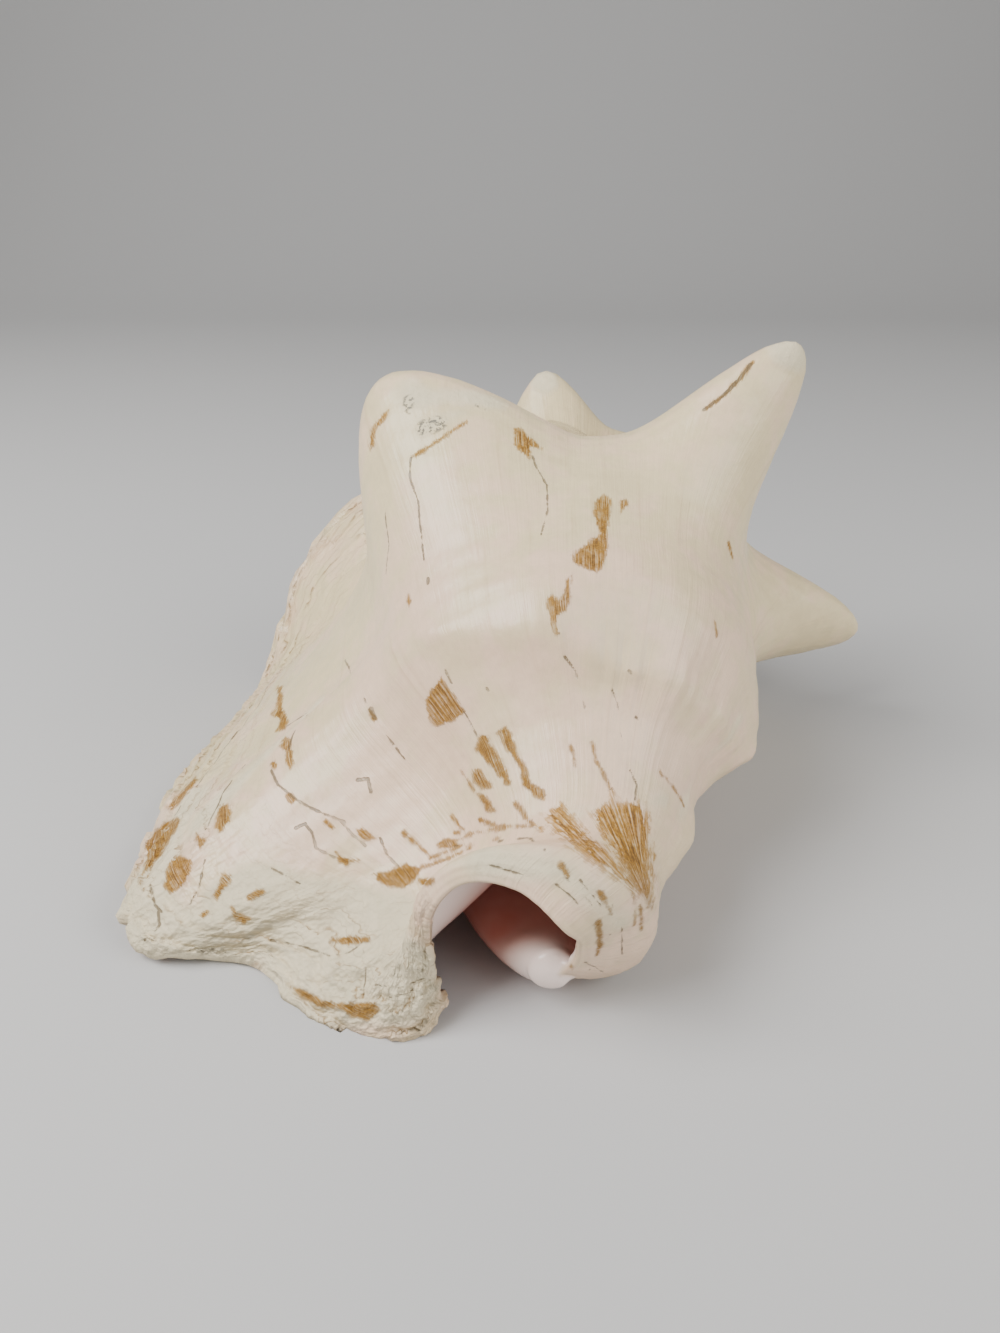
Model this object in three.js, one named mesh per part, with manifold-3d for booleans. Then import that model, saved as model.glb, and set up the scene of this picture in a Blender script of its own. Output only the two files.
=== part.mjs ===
// Conch shell, one grown piece, in millimetres with +Z up, lying with its opening down.
import * as THREE from "three";
import { mergeVertices } from "three/addons/utils/BufferGeometryUtils.js";
import Module from "manifold-3d";

const wasm = await Module();
wasm.setup();

// Coiling axis, from the tip of the canal to the tip of the spire
const SHELL_LENGTH = 225;
const CANAL_TIP = new THREE.Vector3(14, -101.5, 24);
const AXIS_YAW = -2.5;
const AXIS_TILT = 15;
const CANAL_LIFT = 13;
const CANAL_SWING = -24;
const CANAL_BEND_FROM = 0.72;

// Middle of the shell's plan, which becomes the origin
const PLAN_MIDDLE = new THREE.Vector3(0.8, -0.4, 0);

// Growth: each full turn is this much larger than the one before
const TURN_GROWTH = 1.6;
const FULL_SIZE_ANGLE = 250;
const FIRST_ANGLE = -1550;
const LAST_WHORL_ANGLE = -110;
const WING_ANGLE = 155;
const WING_SPAN = 100;
const END_ANGLE = WING_ANGLE + WING_SPAN;

// Outline of a whorl at full size, from the seam at the spire to the canal: distance out, distance down
const OUTLINE = [
  [51, -62],
  [68, -72],
  [82, -88],
  [86, -112],
  [86, -134],
  [82, -156],
  [49, -180],
  [30, -207],
  [31, -219],
  [21, -229],
];
// How strongly each of those points follows the growth: distance out, distance down
const FOLLOW = [
  [1, 1],
  [1, 1],
  [1, 1],
  [1.1, 0.9],
  [1.25, 0.6],
  [1.28, 0.4],
  [1.15, 0.2],
  [0.5, 0.1],
  [0, 0],
  [0, 0],
];
// How far the rim of the canal reaches beyond that outline, by angle
const RIM_REACH = [
  [-60, 0],
  [0, 2],
  [35, 5],
  [80, -2],
  [120, -5],
  [155, -3],
];
const RIM_FROM = 0.82;
const OUTLINE_STEPS = OUTLINE.length - 1;
const OUTLINE_STEP = 24;
const SHOULDER = 2 / OUTLINE_STEPS;
const SHOULDER_OUT = OUTLINE[2][0];

// Spines and knobs: angle, place on the outline, height, reach along the growth, reach along the outline,
// lean towards the spire, blunt share of the tip, sharpness of the flanks
const LAST_SPINES = [
  [132, SHOULDER, 41, 50, 60, 24, 0.4, 1.6],
  [54, SHOULDER, 58, 46, 46, 14, 0.36, 3.5],
  [-14, SHOULDER, 61, 48, 48, 0, 0.3, 3.2],
  [-52, SHOULDER, 37, 32, 30, 8, 0.2, 1.8],
  [-92, SHOULDER, 6, 22, 20, 10, 0.1, 2],
  [-4, 0.6, 8, 28, 18, 0, 0.2, 1.6],
  [30, 0.63, 3, 26, 16, 0, 0.2, 1.6],
  [60, 0.625, 4, 24, 16, 0, 0.2, 1.6],
  [104, 0.59, 4, 28, 14, 0, 0.2, 1.6],
  [8, 0.735, 4, 22, 13, 0, 0.2, 1.6],
  [-45, 0.9, 9, 44, 30, 0, 0.3, 1.4],
];
// Older spines on the whorl before the last: angle, height
const OLDER_SPINES = [
  [-128, 18],
  [-165, 20],
  [-200, 20],
  [-228, 18],
  [-256, 36],
  [-291, 15],
];
const SPIRE_SPINE_ANGLE = -326;
const SPIRE_SPINE_GAP = 36;
const SPIRE_SPINE_HEIGHT = 17;
const SPIRE_SPINE_COUNT = 26;
const OLD_SPINE_REACH = 0.85;
const OLD_SPINE_RISE = 0.95;
const OLD_SPINE_LEAN = 30;
const OLD_SPINE_BLUNT = 0.12;
const OLD_SPINE_SHARP = 1.8;

// Edge of the lip: place on the outline, then x, y, z
const LIP_EDGE = [
  [0.0, -14, 82, 80],
  [0.04, -60, 94, 86],
  [0.08, -94, 98, 55],
  [0.14, -111, 82, 12],
  [0.25, -119, 50, 3],
  [0.38, -131, -2, 5],
  [0.51, -129, -50, 9],
  [0.59, -125, -73, 10],
  [0.65, -112, -84, 6],
  [0.71, -90, -82, 3],
  [0.8, -66, -101, 0],
  [0.9, -42, -111, 0],
  [0.95, -32, -109, 1],
  [1.0, -28, -103, 5],
];
const WING_LEAVE = 0.9;
const WING_ARRIVE = 0.6;

// Wall thickness by place on the outline, of the whorl and then of the lip edge
const WHORL_WALL = [
  [0, 5],
  [0.75, 5],
  [1, 2.5],
];
const LIP_WALL = [
  [0, 4],
  [0.13, 5],
  [0.38, 7],
  [0.59, 8],
  [0.71, 6],
  [0.85, 4.5],
  [1, 3],
];
const INNER_BUMP = 0.45;
const ROOT_ANGLE = -118;
const ROOT_SINK = 1.5;
const JOIN_ANGLE = -109;
const FREE_ANGLE = -106;
const CANAL_ROOT_ANGLE = -60;
const CANAL_ROOT_FROM = 0.6;
const CORE_FOOT = 190;
const CORE_DRAW = 0.5;
const CORE_DRAW_SPAN = [0.5, 0.8];

// Inner lip, from the pink knob back to the older whorl: x, y, z, half width, half height
const INNER_LIP = [
  [3.5, -101, 17, 7, 7],
  [1, -94, 13, 9.5, 8],
  [-1, -86, 10.5, 13, 8],
  [-4, -74, 10.5, 17, 9],
  [-5, -54, 13, 25, 12],
  [-3, -22, 26, 34, 20],
  [4, 10, 40, 38, 27],
  [12, 45, 54, 32, 25],
];

// Facet counts
const SPIRE_STEP = 10;
const SEAM_ROWS = [0.06, 0.12, 0.175, SHOULDER, 0.28];
const BASE_ROWS = [0.36, 0.45, 0.54, 0.62, 0.7, 0.78];
const WHORL_STEPS = 33;
const WING_STEPS = 12;
const BODY_ROWS = 23;
const CANAL_ROWS = 10;
const CANAL_FROM = 0.8;
const LIP_RINGS = 12;
const RING_FACETS = 18;

// Small steps for measuring directions on the sheet, and how far inside its border they are measured
const TURN_STEP = 0.3;
const PLACE_STEP = 0.002;
const NORMAL_LIMIT = 0.97;
const NORMAL_MARGIN = 6;
const TABLE_BOX = 600;

const SHELL_COLOUR = 0xe6d8c8;
const SHELL_ROUGHNESS = 0.55;

const radians = THREE.MathUtils.degToRad;
const growth = (angle) => TURN_GROWTH ** ((angle - FULL_SIZE_ANGLE) / 360);

const shellTurn = new THREE.Matrix4()
  .makeRotationZ(radians(AXIS_YAW))
  .multiply(new THREE.Matrix4().makeRotationX(radians(AXIS_TILT)));
const spireTip = new THREE.Vector3(0, SHELL_LENGTH, 0).applyMatrix4(shellTurn).add(CANAL_TIP);

const outlineCurve = new THREE.SplineCurve(OUTLINE.map(([out, down]) => new THREE.Vector2(out, down)));
const followCurve = new THREE.SplineCurve(FOLLOW.map(([out, down]) => new THREE.Vector2(out, down)));

// Full list of spines, the small ones on the spire shrinking with the whorls
const spines = [...LAST_SPINES];
const addOldSpine = (angle, height) => {
  const reach = height * OLD_SPINE_REACH;
  const rise = height * OLD_SPINE_RISE;
  spines.push([angle, SHOULDER, height, reach, rise, OLD_SPINE_LEAN, OLD_SPINE_BLUNT, OLD_SPINE_SHARP]);
};
OLDER_SPINES.forEach(([angle, height]) => addOldSpine(angle, height));
for (let count = 0; count < SPIRE_SPINE_COUNT; count++) {
  const angle = SPIRE_SPINE_ANGLE - SPIRE_SPINE_GAP * count;
  addOldSpine(angle, SPIRE_SPINE_HEIGHT * TURN_GROWTH ** ((angle - SPIRE_SPINE_ANGLE) / 360));
}

// Smooth curve through rows of numbers, the first number of each row being its place
function throughRows(rows, place) {
  const width = rows[0].length - 1;
  const last = rows.length - 1;
  const slope = (k, n) => (rows[k + 1][n] - rows[k][n]) / (rows[k + 1][0] - rows[k][0]);
  const span = (k) => rows[k + 1][0] - rows[k][0];
  const tangent = (k, n) => {
    if (k === 0) return slope(0, n);
    if (k === last) return slope(last - 1, n);
    return (slope(k - 1, n) * span(k) + slope(k, n) * span(k - 1)) / (span(k) + span(k - 1));
  };
  let k = 0;
  while (k < last - 1 && place > rows[k + 1][0]) k++;
  const gap = span(k);
  const t = THREE.MathUtils.clamp((place - rows[k][0]) / gap, 0, 1);
  const values = [];
  for (let n = 1; n <= width; n++) {
    values.push(hermite(t, rows[k][n], gap * tangent(k, n), rows[k + 1][n], gap * tangent(k + 1, n)));
  }
  return values;
}

function hermite(t, from, leave, to, arrive) {
  const t2 = t * t;
  const t3 = t2 * t;
  const start = (2 * t3 - 3 * t2 + 1) * from + (t3 - 2 * t2 + t) * leave;
  return start + (3 * t2 - 2 * t3) * to + (t3 - t2) * arrive;
}

// Point on the coiling surface, with a share of the spines' height
function whorlPoint(angle, along, share) {
  const outline = outlineCurve.getPoint(along);
  const follow = followCurve.getPoint(along);
  const stage = (Math.log(TURN_GROWTH) * (angle - FULL_SIZE_ANGLE)) / 360;
  let out = outline.x * Math.exp(stage * follow.x);
  let down = outline.y * Math.exp(stage * follow.y);
  for (const [spineAngle, place, height, reach, rise, lean, blunt, sharp] of spines) {
    const size = growth(spineAngle);
    const round = (radians(angle - spineAngle) * size * SHOULDER_OUT) / reach;
    const across = ((along - place) * OUTLINE_STEPS * OUTLINE_STEP * size) / rise;
    const dome = blunt / 2;
    const away = (Math.hypot(round, across, dome) - dome) / (1 - dome);
    if (away >= 1) continue;
    const lift = share * height * (1 - away) ** sharp;
    out += lift * Math.cos(radians(lean));
    down += lift * Math.sin(radians(lean));
  }
  down -= throughRows(RIM_REACH, angle)[0] * THREE.MathUtils.smoothstep(along, RIM_FROM, 1);
  const bend = THREE.MathUtils.smoothstep(along, CANAL_BEND_FROM, 1);
  const turned = radians(angle);
  const point = new THREE.Vector3(out * Math.cos(turned), down, out * Math.sin(turned));
  point.x += bend * CANAL_SWING;
  point.z += bend * CANAL_LIFT;
  return point.applyMatrix4(shellTurn).add(spireTip);
}

const axisPoint = (down) => new THREE.Vector3(0, down, 0).applyMatrix4(shellTurn).add(spireTip);

// Point on the base of the older whorls, drawn in towards the axis near the canal
function basePoint(angle, along) {
  const point = whorlPoint(angle, along, 1);
  const centre = axisPoint(point.clone().sub(spireTip).applyMatrix4(shellTurn.clone().invert()).y);
  return point.lerp(centre, CORE_DRAW * THREE.MathUtils.smoothstep(along, ...CORE_DRAW_SPAN));
}

// Point on the flaring wing, which leaves the whorl along its growth and ends at the lip edge
function wingPoint(step, along, share) {
  const from = whorlPoint(WING_ANGLE, along, share);
  const leave = whorlPoint(WING_ANGLE + TURN_STEP, along, share);
  leave.sub(whorlPoint(WING_ANGLE - TURN_STEP, along, share));
  const to = new THREE.Vector3(...throughRows(LIP_EDGE, along));
  const chord = to.clone().sub(from);
  leave.setLength(chord.length() * WING_LEAVE);
  chord.multiplyScalar(WING_ARRIVE);
  const coordinate = (axis) => hermite(step, from[axis], leave[axis], to[axis], chord[axis]);
  return new THREE.Vector3(coordinate("x"), coordinate("y"), coordinate("z"));
}

// Point on the last whorl and its wing as one sheet
function sheetPoint(angle, along, share) {
  if (angle <= WING_ANGLE) return whorlPoint(angle, along, share);
  return wingPoint((angle - WING_ANGLE) / WING_SPAN, along, share);
}

// Outward direction of the sheet
function sheetNormal(angle, along, share) {
  const place = THREE.MathUtils.clamp(along, PLACE_STEP, NORMAL_LIMIT);
  const turn = Math.min(angle, END_ANGLE - NORMAL_MARGIN);
  const across = sheetPoint(turn, place + PLACE_STEP, share).sub(sheetPoint(turn, place - PLACE_STEP, share));
  const forward = sheetPoint(turn + TURN_STEP, place, share).sub(sheetPoint(turn - TURN_STEP, place, share));
  return forward.cross(across).normalize();
}

function wallAt(angle, along) {
  const [whorl] = throughRows(WHORL_WALL, along);
  const [lip] = throughRows(LIP_WALL, along);
  return THREE.MathUtils.lerp(whorl, lip, THREE.MathUtils.clamp((angle - WING_ANGLE) / WING_SPAN, 0, 1));
}

// Solid from points and faces, turned so that its faces look outwards
function solidFrom(points, faces) {
  const vertProperties = new Float32Array(points.flatMap((point) => point.toArray()));
  const build = (list) =>
    new wasm.Manifold(new wasm.Mesh({ numProp: 3, vertProperties, triVerts: new Uint32Array(list.flat()) }));
  const solid = build(faces);
  return solid.volume() > 0 ? solid : build(faces.map(([a, b, c]) => [a, c, b]));
}

// Two triangles across the corners a, b, c, d of a patch
const patch = (a, b, c, d) => [
  [a, b, c],
  [a, c, d],
];

// Older whorls as one filled body: a coiled strip, each turn joined to the one before along the seam
function coreSolid() {
  const points = [];
  const faces = [];
  const rows = SEAM_ROWS.length;
  const columns = Math.round((LAST_WHORL_ANGLE - FIRST_ANGLE) / SPIRE_STEP);
  const perTurn = 360 / SPIRE_STEP;
  const angleOf = (column) => FIRST_ANGLE + column * SPIRE_STEP;
  for (let column = 0; column <= columns; column++) {
    for (const along of SEAM_ROWS) points.push(whorlPoint(angleOf(column), along, 1));
  }
  const tip = points.push(axisPoint(0)) - 1;
  const at = (column, row) => {
    if (row >= 0) return column * rows + row;
    return column < perTurn ? tip : (column - perTurn) * rows + rows - 1;
  };
  for (let column = 0; column < columns; column++) {
    for (let row = -1; row < rows - 1; row++) {
      const [a, b] = [at(column, row), at(column, row + 1)];
      const [c, d] = [at(column + 1, row + 1), at(column + 1, row)];
      faces.push([a, b, c]);
      if (a !== d) faces.push([a, c, d]);
    }
  }
  for (let row = 0; row < rows - 1; row++) faces.push([tip, at(0, row + 1), at(0, row)]);
  const first = columns - perTurn;
  const deep = points.length;
  const depth = BASE_ROWS.length;
  for (let column = first; column <= columns; column++) {
    for (const along of BASE_ROWS) points.push(basePoint(angleOf(column), along));
  }
  const foot = points.push(axisPoint(-CORE_FOOT)) - 1;
  const below = (column, row) => {
    if (row < 0) return at(column, rows - 1);
    return row < depth ? deep + (column - first) * depth + row : foot;
  };
  for (let column = first; column < columns; column++) {
    for (let row = -1; row < depth; row++) {
      const [a, b] = [below(column, row), below(column, row + 1)];
      const [c, d] = [below(column + 1, row + 1), below(column + 1, row)];
      faces.push([a, b, d]);
      if (b !== c) faces.push([b, c, d]);
    }
  }
  for (let row = 1; row < rows; row++) faces.push([at(columns, -1), at(columns, row - 1), at(columns, row)]);
  for (let row = -1; row < depth; row++) {
    const [a, b] = [below(columns, row), below(columns, row + 1)];
    const [c, d] = [below(first, row + 1), below(first, row)];
    faces.push([a, b, d]);
    if (b !== c) faces.push([b, c, d]);
  }
  return solidFrom(points, faces);
}

// Angle of a column of the wall, which starts later towards the canal so that the canal stays open below
function openedAngle(column, along) {
  if (column >= WING_ANGLE) return column;
  const opening = THREE.MathUtils.smoothstep(along, CANAL_ROOT_FROM, 1);
  const root = THREE.MathUtils.lerp(ROOT_ANGLE, CANAL_ROOT_ANGLE, opening);
  return THREE.MathUtils.mapLinear(column, ROOT_ANGLE, WING_ANGLE, root, WING_ANGLE);
}

// Wall of the last whorl and the wing, between its outer and its inner sheet
function wallSolid() {
  const angles = [ROOT_ANGLE, JOIN_ANGLE];
  for (let step = 0; step <= WHORL_STEPS; step++) {
    angles.push(THREE.MathUtils.lerp(FREE_ANGLE, WING_ANGLE, step / WHORL_STEPS));
  }
  for (let step = 1; step <= WING_STEPS; step++) angles.push(WING_ANGLE + (WING_SPAN * step) / WING_STEPS);
  const places = [];
  for (let row = 0; row < BODY_ROWS; row++) places.push((CANAL_FROM * row) / BODY_ROWS);
  for (let row = 0; row <= CANAL_ROWS; row++) {
    places.push(THREE.MathUtils.lerp(CANAL_FROM, 1, row / CANAL_ROWS));
  }
  const outer = [];
  const inner = [];
  for (const column of angles) {
    for (const along of places) {
      const angle = openedAngle(column, along);
      const sink = ROOT_SINK * (1 - THREE.MathUtils.smoothstep(column, ROOT_ANGLE, FREE_ANGLE));
      const normal = sheetNormal(angle, along, INNER_BUMP);
      outer.push(sheetPoint(angle, along, 1).addScaledVector(normal, -sink));
      inner.push(sheetPoint(angle, along, INNER_BUMP).addScaledVector(normal, -wallAt(angle, along)));
    }
  }
  const rows = places.length;
  const count = outer.length;
  const faces = [];
  const lastColumn = angles.length - 1;
  const at = (column, row) => column * rows + row;
  for (let column = 0; column < lastColumn; column++) {
    for (let row = 0; row < rows - 1; row++) {
      const [a, b] = [at(column, row), at(column, row + 1)];
      const [c, d] = [at(column + 1, row + 1), at(column + 1, row)];
      faces.push(...patch(a, b, c, d));
      faces.push(...patch(count + a, count + d, count + c, count + b));
    }
    for (const row of [0, rows - 1]) {
      const [a, b] = [at(column, row), at(column + 1, row)];
      faces.push(...(row ? patch(b, a, count + a, count + b) : patch(a, b, count + b, count + a)));
    }
  }
  for (let row = 0; row < rows - 1; row++) {
    for (const column of [0, lastColumn]) {
      const [a, b] = [at(column, row), at(column, row + 1)];
      faces.push(...(column ? patch(a, b, count + b, count + a) : patch(b, a, count + a, count + b)));
    }
  }
  return solidFrom([...outer, ...inner], faces);
}

// Inner lip, an oval bar along its curve with closed ends
function innerLipSolid() {
  const points = [];
  const faces = [];
  const rowsOfBar = INNER_LIP.map((row, place) => [place / (INNER_LIP.length - 1), ...row]);
  for (let ring = 0; ring <= LIP_RINGS; ring++) {
    const [x, y, z, wide, high] = throughRows(rowsOfBar, ring / LIP_RINGS);
    for (let facet = 0; facet < RING_FACETS; facet++) {
      const turned = (2 * Math.PI * facet) / RING_FACETS;
      points.push(new THREE.Vector3(x + wide * Math.cos(turned), y, z + high * Math.sin(turned)));
    }
  }
  const [x, y, z, wide] = INNER_LIP[0];
  const front = points.push(new THREE.Vector3(x, y - wide / 2, z)) - 1;
  const back = points.push(new THREE.Vector3(...INNER_LIP.at(-1).slice(0, 3))) - 1;
  for (let facet = 0; facet < RING_FACETS; facet++) {
    const next = (facet + 1) % RING_FACETS;
    for (let ring = 0; ring < LIP_RINGS; ring++) {
      const [here, there] = [ring * RING_FACETS, (ring + 1) * RING_FACETS];
      faces.push(...patch(here + facet, here + next, there + next, there + facet));
    }
    faces.push([front, next, facet]);
    faces.push([back, LIP_RINGS * RING_FACETS + facet, LIP_RINGS * RING_FACETS + next]);
  }
  return solidFrom(points, faces);
}

// Everything below the table, to cut the worn flat places the shell rests on
function belowTable() {
  const box = new THREE.BoxGeometry(TABLE_BOX, TABLE_BOX, TABLE_BOX);
  box.deleteAttribute("normal");
  box.deleteAttribute("uv");
  box.translate(0, 0, -TABLE_BOX / 2);
  const merged = mergeVertices(box);
  const vertProperties = new Float32Array(merged.attributes.position.array);
  const triVerts = new Uint32Array(merged.index.array);
  return new wasm.Manifold(new wasm.Mesh({ numProp: 3, vertProperties, triVerts }));
}

const solid = coreSolid().add(wallSolid()).add(innerLipSolid()).subtract(belowTable());

const mesh = solid.getMesh();
const geometry = new THREE.BufferGeometry();
geometry.setAttribute("position", new THREE.BufferAttribute(new Float32Array(mesh.vertProperties), 3));
geometry.setIndex(new THREE.BufferAttribute(new Uint32Array(mesh.triVerts), 1));
geometry.translate(-PLAN_MIDDLE.x, -PLAN_MIDDLE.y, -PLAN_MIDDLE.z);
geometry.computeVertexNormals();

const material = new THREE.MeshStandardMaterial({
  color: SHELL_COLOUR,
  roughness: SHELL_ROUGHNESS,
  metalness: 0,
});
const shell = new THREE.Mesh(geometry, material);
shell.name = "shell";

const part = new THREE.Group();
part.name = "conch_shell";
part.add(shell);

export default part;
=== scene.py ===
"""Conch shell lying with its opening down, with its finish, floor, light and camera."""

import itertools
import logging
import math
from collections.abc import Callable
from dataclasses import dataclass, field
from enum import Enum

import bmesh
import bpy
import numpy as np
from mathutils import Matrix, Vector
from mathutils.bvhtree import BVHTree
from mathutils.kdtree import KDTree


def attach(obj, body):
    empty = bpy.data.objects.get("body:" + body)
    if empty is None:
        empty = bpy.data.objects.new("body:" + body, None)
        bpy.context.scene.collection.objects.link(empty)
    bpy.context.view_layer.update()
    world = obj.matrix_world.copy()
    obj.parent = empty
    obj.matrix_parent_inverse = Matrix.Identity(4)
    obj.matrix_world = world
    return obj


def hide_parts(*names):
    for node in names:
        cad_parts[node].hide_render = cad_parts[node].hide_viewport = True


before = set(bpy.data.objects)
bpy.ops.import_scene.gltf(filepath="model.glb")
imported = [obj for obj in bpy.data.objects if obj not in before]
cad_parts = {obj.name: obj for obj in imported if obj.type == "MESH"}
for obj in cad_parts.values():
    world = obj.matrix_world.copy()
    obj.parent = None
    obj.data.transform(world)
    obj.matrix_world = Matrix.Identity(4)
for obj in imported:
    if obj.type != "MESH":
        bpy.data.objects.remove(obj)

log = logging.getLogger("conch")

METRES = 0.001
NODE = "shell"
BODY = "root"
Socket = bpy.types.NodeSocket
Value = Socket | float


class Mark(str, Enum):
    """Names of the numbers kept on every vertex of the shell."""

    TURN = "turn"
    ALONG = "along"
    LIP = "lip"
    INSIDE = "inside"
    TIP = "tip"
    FLAKE = "flake"
    CRACK = "crack"
    WEAR = "wear"
    PIT = "pit"
    COMB = "comb"


def smoothstep(value: np.ndarray, low: float, high: float) -> np.ndarray:
    """Smooth rise from 0 to 1.

    Args:
        value: Numbers to map.
        low: Value where the rise starts.
        high: Value where it ends.

    Returns:
        The mapped numbers.
    """
    share = np.clip((value - low) / (high - low), 0.0, 1.0)
    return share * share * (3.0 - 2.0 * share)


def hermite(
    share: np.ndarray, start: np.ndarray, leave: np.ndarray, end: np.ndarray, arrive: np.ndarray
) -> np.ndarray:
    """Cubic between two points with given directions.

    Args:
        share: Place between the points, 0 to 1.
        start: First point.
        leave: Direction at the first point.
        end: Second point.
        arrive: Direction at the second point.

    Returns:
        The points on the cubic.
    """
    square = share * share
    cube = square * share
    first = (2 * cube - 3 * square + 1) * start + (cube - 2 * square + share) * leave
    return first + (3 * square - 2 * cube) * end + (cube - square) * arrive


def spline(rows: np.ndarray, share: np.ndarray) -> np.ndarray:
    """Smooth curve through evenly spaced rows.

    Args:
        rows: Points of the curve.
        share: Places on it, 0 to 1.

    Returns:
        One point for each place.
    """
    last = len(rows) - 1
    place = np.clip(share, 0.0, 1.0) * last
    index = np.minimum(place.astype(int), last - 1)
    here, after = rows[index], rows[index + 1]
    leave = (after - rows[np.maximum(index - 1, 0)]) / 2
    arrive = (rows[np.minimum(index + 2, last)] - here) / 2
    return hermite((place - index)[:, None], here, leave, after, arrive)


def through_rows(rows: np.ndarray, place: np.ndarray) -> np.ndarray:
    """Smooth curve through rows whose first number is their place.

    Args:
        rows: Rows of place and values.
        place: Places to read.

    Returns:
        The values at those places.
    """
    places, values = rows[:, 0], rows[:, 1:]
    spans = np.diff(places)[:, None]
    slopes = np.diff(values, axis=0) / spans
    tangents = np.vstack([slopes[:1], slopes[-1:]]).repeat([len(rows) - 1, 1], axis=0)
    tangents[1:-1] = (slopes[:-1] * spans[1:] + slopes[1:] * spans[:-1]) / (spans[1:] + spans[:-1])
    index = np.clip(np.searchsorted(places, place) - 1, 0, len(rows) - 2)
    share = np.clip((place - places[index])[:, None] / spans[index], 0.0, 1.0)
    leave, arrive = spans[index] * tangents[index], spans[index] * tangents[index + 1]
    return hermite(share, values[index], leave, values[index + 1], arrive)


@dataclass(frozen=True)
class Noise:
    """Noise texture: its fineness, its octaves and the strength of the finer ones."""

    scale: float
    detail: float
    rough: float = 0.5


class Nodes:
    """Adds nodes to a tree and joins them."""

    def __init__(self, tree: bpy.types.NodeTree) -> None:
        """Keeps the tree.

        Args:
            tree: Tree that gets the nodes.
        """
        self.tree = tree

    def add(self, kind: str, inputs: dict | None = None, **settings) -> bpy.types.Node:
        """Adds one node.

        Args:
            kind: Type name of the node.
            inputs: Sockets or constants by input name or number.
            settings: Properties of the node.

        Returns:
            The new node.
        """
        node = self.tree.nodes.new(kind)
        for name, value in settings.items():
            setattr(node, name, value)
        for name, value in (inputs or {}).items():
            self.feed(node.inputs[name], value)
        return node

    def feed(self, socket: Socket, value: Value) -> None:
        """Joins a socket or sets its constant.

        Args:
            socket: Input socket.
            value: Output socket or constant.
        """
        if isinstance(value, bpy.types.NodeSocket):
            self.tree.links.new(value, socket)
        else:
            socket.default_value = value

    def math(self, operation: str, *values: Value, clamp: bool = False) -> Socket:
        """Adds a math node.

        Args:
            operation: Name of the operation.
            values: Its inputs.
            clamp: Whether the result is kept between 0 and 1.

        Returns:
            The result.
        """
        node = self.add("ShaderNodeMath", dict(enumerate(values)), operation=operation)
        node.use_clamp = clamp
        return node.outputs[0]

    def vector(self, x: Value, y: Value, z: Value) -> Socket:
        """Joins three numbers into a vector.

        Args:
            x: First number.
            y: Second number.
            z: Third number.

        Returns:
            The vector.
        """
        return self.add("ShaderNodeCombineXYZ", {0: x, 1: y, 2: z}).outputs[0]

    def product(self, *values: Value) -> Socket:
        """Multiplies numbers.

        Args:
            values: The numbers.

        Returns:
            Their product.
        """
        result = values[0]
        for value in values[1:]:
            result = self.math("MULTIPLY", result, value)
        return result

    def total(self, *pairs: tuple[Value, float]) -> Socket:
        """Adds numbers, each with its share.

        Args:
            pairs: Number and share.

        Returns:
            The sum.
        """
        result = 0.0
        for value, share in pairs:
            result = self.math("MULTIPLY_ADD", value, share, result)
        return result

    def swap(self, share: Socket, first: Value, second: Value) -> Socket:
        """Mixes two numbers.

        Args:
            share: Share of the second.
            first: First number.
            second: Second number.

        Returns:
            The mixed number.
        """
        return self.add("ShaderNodeMix", {0: share, 2: first, 3: second}, data_type="FLOAT").outputs[0]

    def ramp(
        self, value: Value, low: float, high: float, to_low: float = 0.0, to_high: float = 1.0
    ) -> Socket:
        """Maps a number smoothly from one range to another.

        Args:
            value: Number to map.
            low: Start of its range.
            high: End of its range.
            to_low: Result at the start.
            to_high: Result at the end.

        Returns:
            The mapped number.
        """
        inputs = {0: value, 1: low, 2: high, 3: to_low, 4: to_high}
        node = self.add("ShaderNodeMapRange", inputs, interpolation_type="SMOOTHSTEP")
        return node.outputs[0]

    def noise(self, place: Socket, noise: Noise) -> Socket:
        """Adds a noise texture.

        Args:
            place: Coordinates.
            noise: Its numbers.

        Returns:
            The noise, about 0 to 1.
        """
        inputs = {"Vector": place, "Scale": noise.scale, "Detail": noise.detail, "Roughness": noise.rough}
        return self.add("ShaderNodeTexNoise", inputs).outputs["Fac"]

    def blend(self, share: Value, first: Socket | tuple, second: Socket | tuple, kind: str = "MIX") -> Socket:
        """Mixes two colours.

        Args:
            share: Share of the second.
            first: First colour.
            second: Second colour.
            kind: Way of mixing.

        Returns:
            The mixed colour.
        """
        node = self.add("ShaderNodeMix", data_type="RGBA", blend_type=kind)
        self.feed(node.inputs[0], share)
        for socket, colour in zip((node.inputs[6], node.inputs[7]), (first, second)):
            self.feed(socket, colour if isinstance(colour, bpy.types.NodeSocket) else (*colour, 1.0))
        return node.outputs[2]


@dataclass
class Part:
    """Closed surface with numbers on its vertices, in millimetres."""

    name: str
    points: np.ndarray
    faces: list
    marks: dict

    def to_object(self) -> bpy.types.Object:
        """Makes a mesh object, its faces turned outwards.

        Returns:
            The object, linked to the scene.
        """
        mesh = bpy.data.meshes.new(self.name)
        mesh.from_pydata(self.points.tolist(), [], [list(map(int, face)) for face in self.faces])
        work = bmesh.new()
        work.from_mesh(mesh)
        if work.calc_volume(signed=True) < 0:
            bmesh.ops.reverse_faces(work, faces=work.faces)
        work.to_mesh(mesh)
        work.free()
        made = bpy.data.objects.new(self.name, mesh)
        bpy.context.scene.collection.objects.link(made)
        return made


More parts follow.
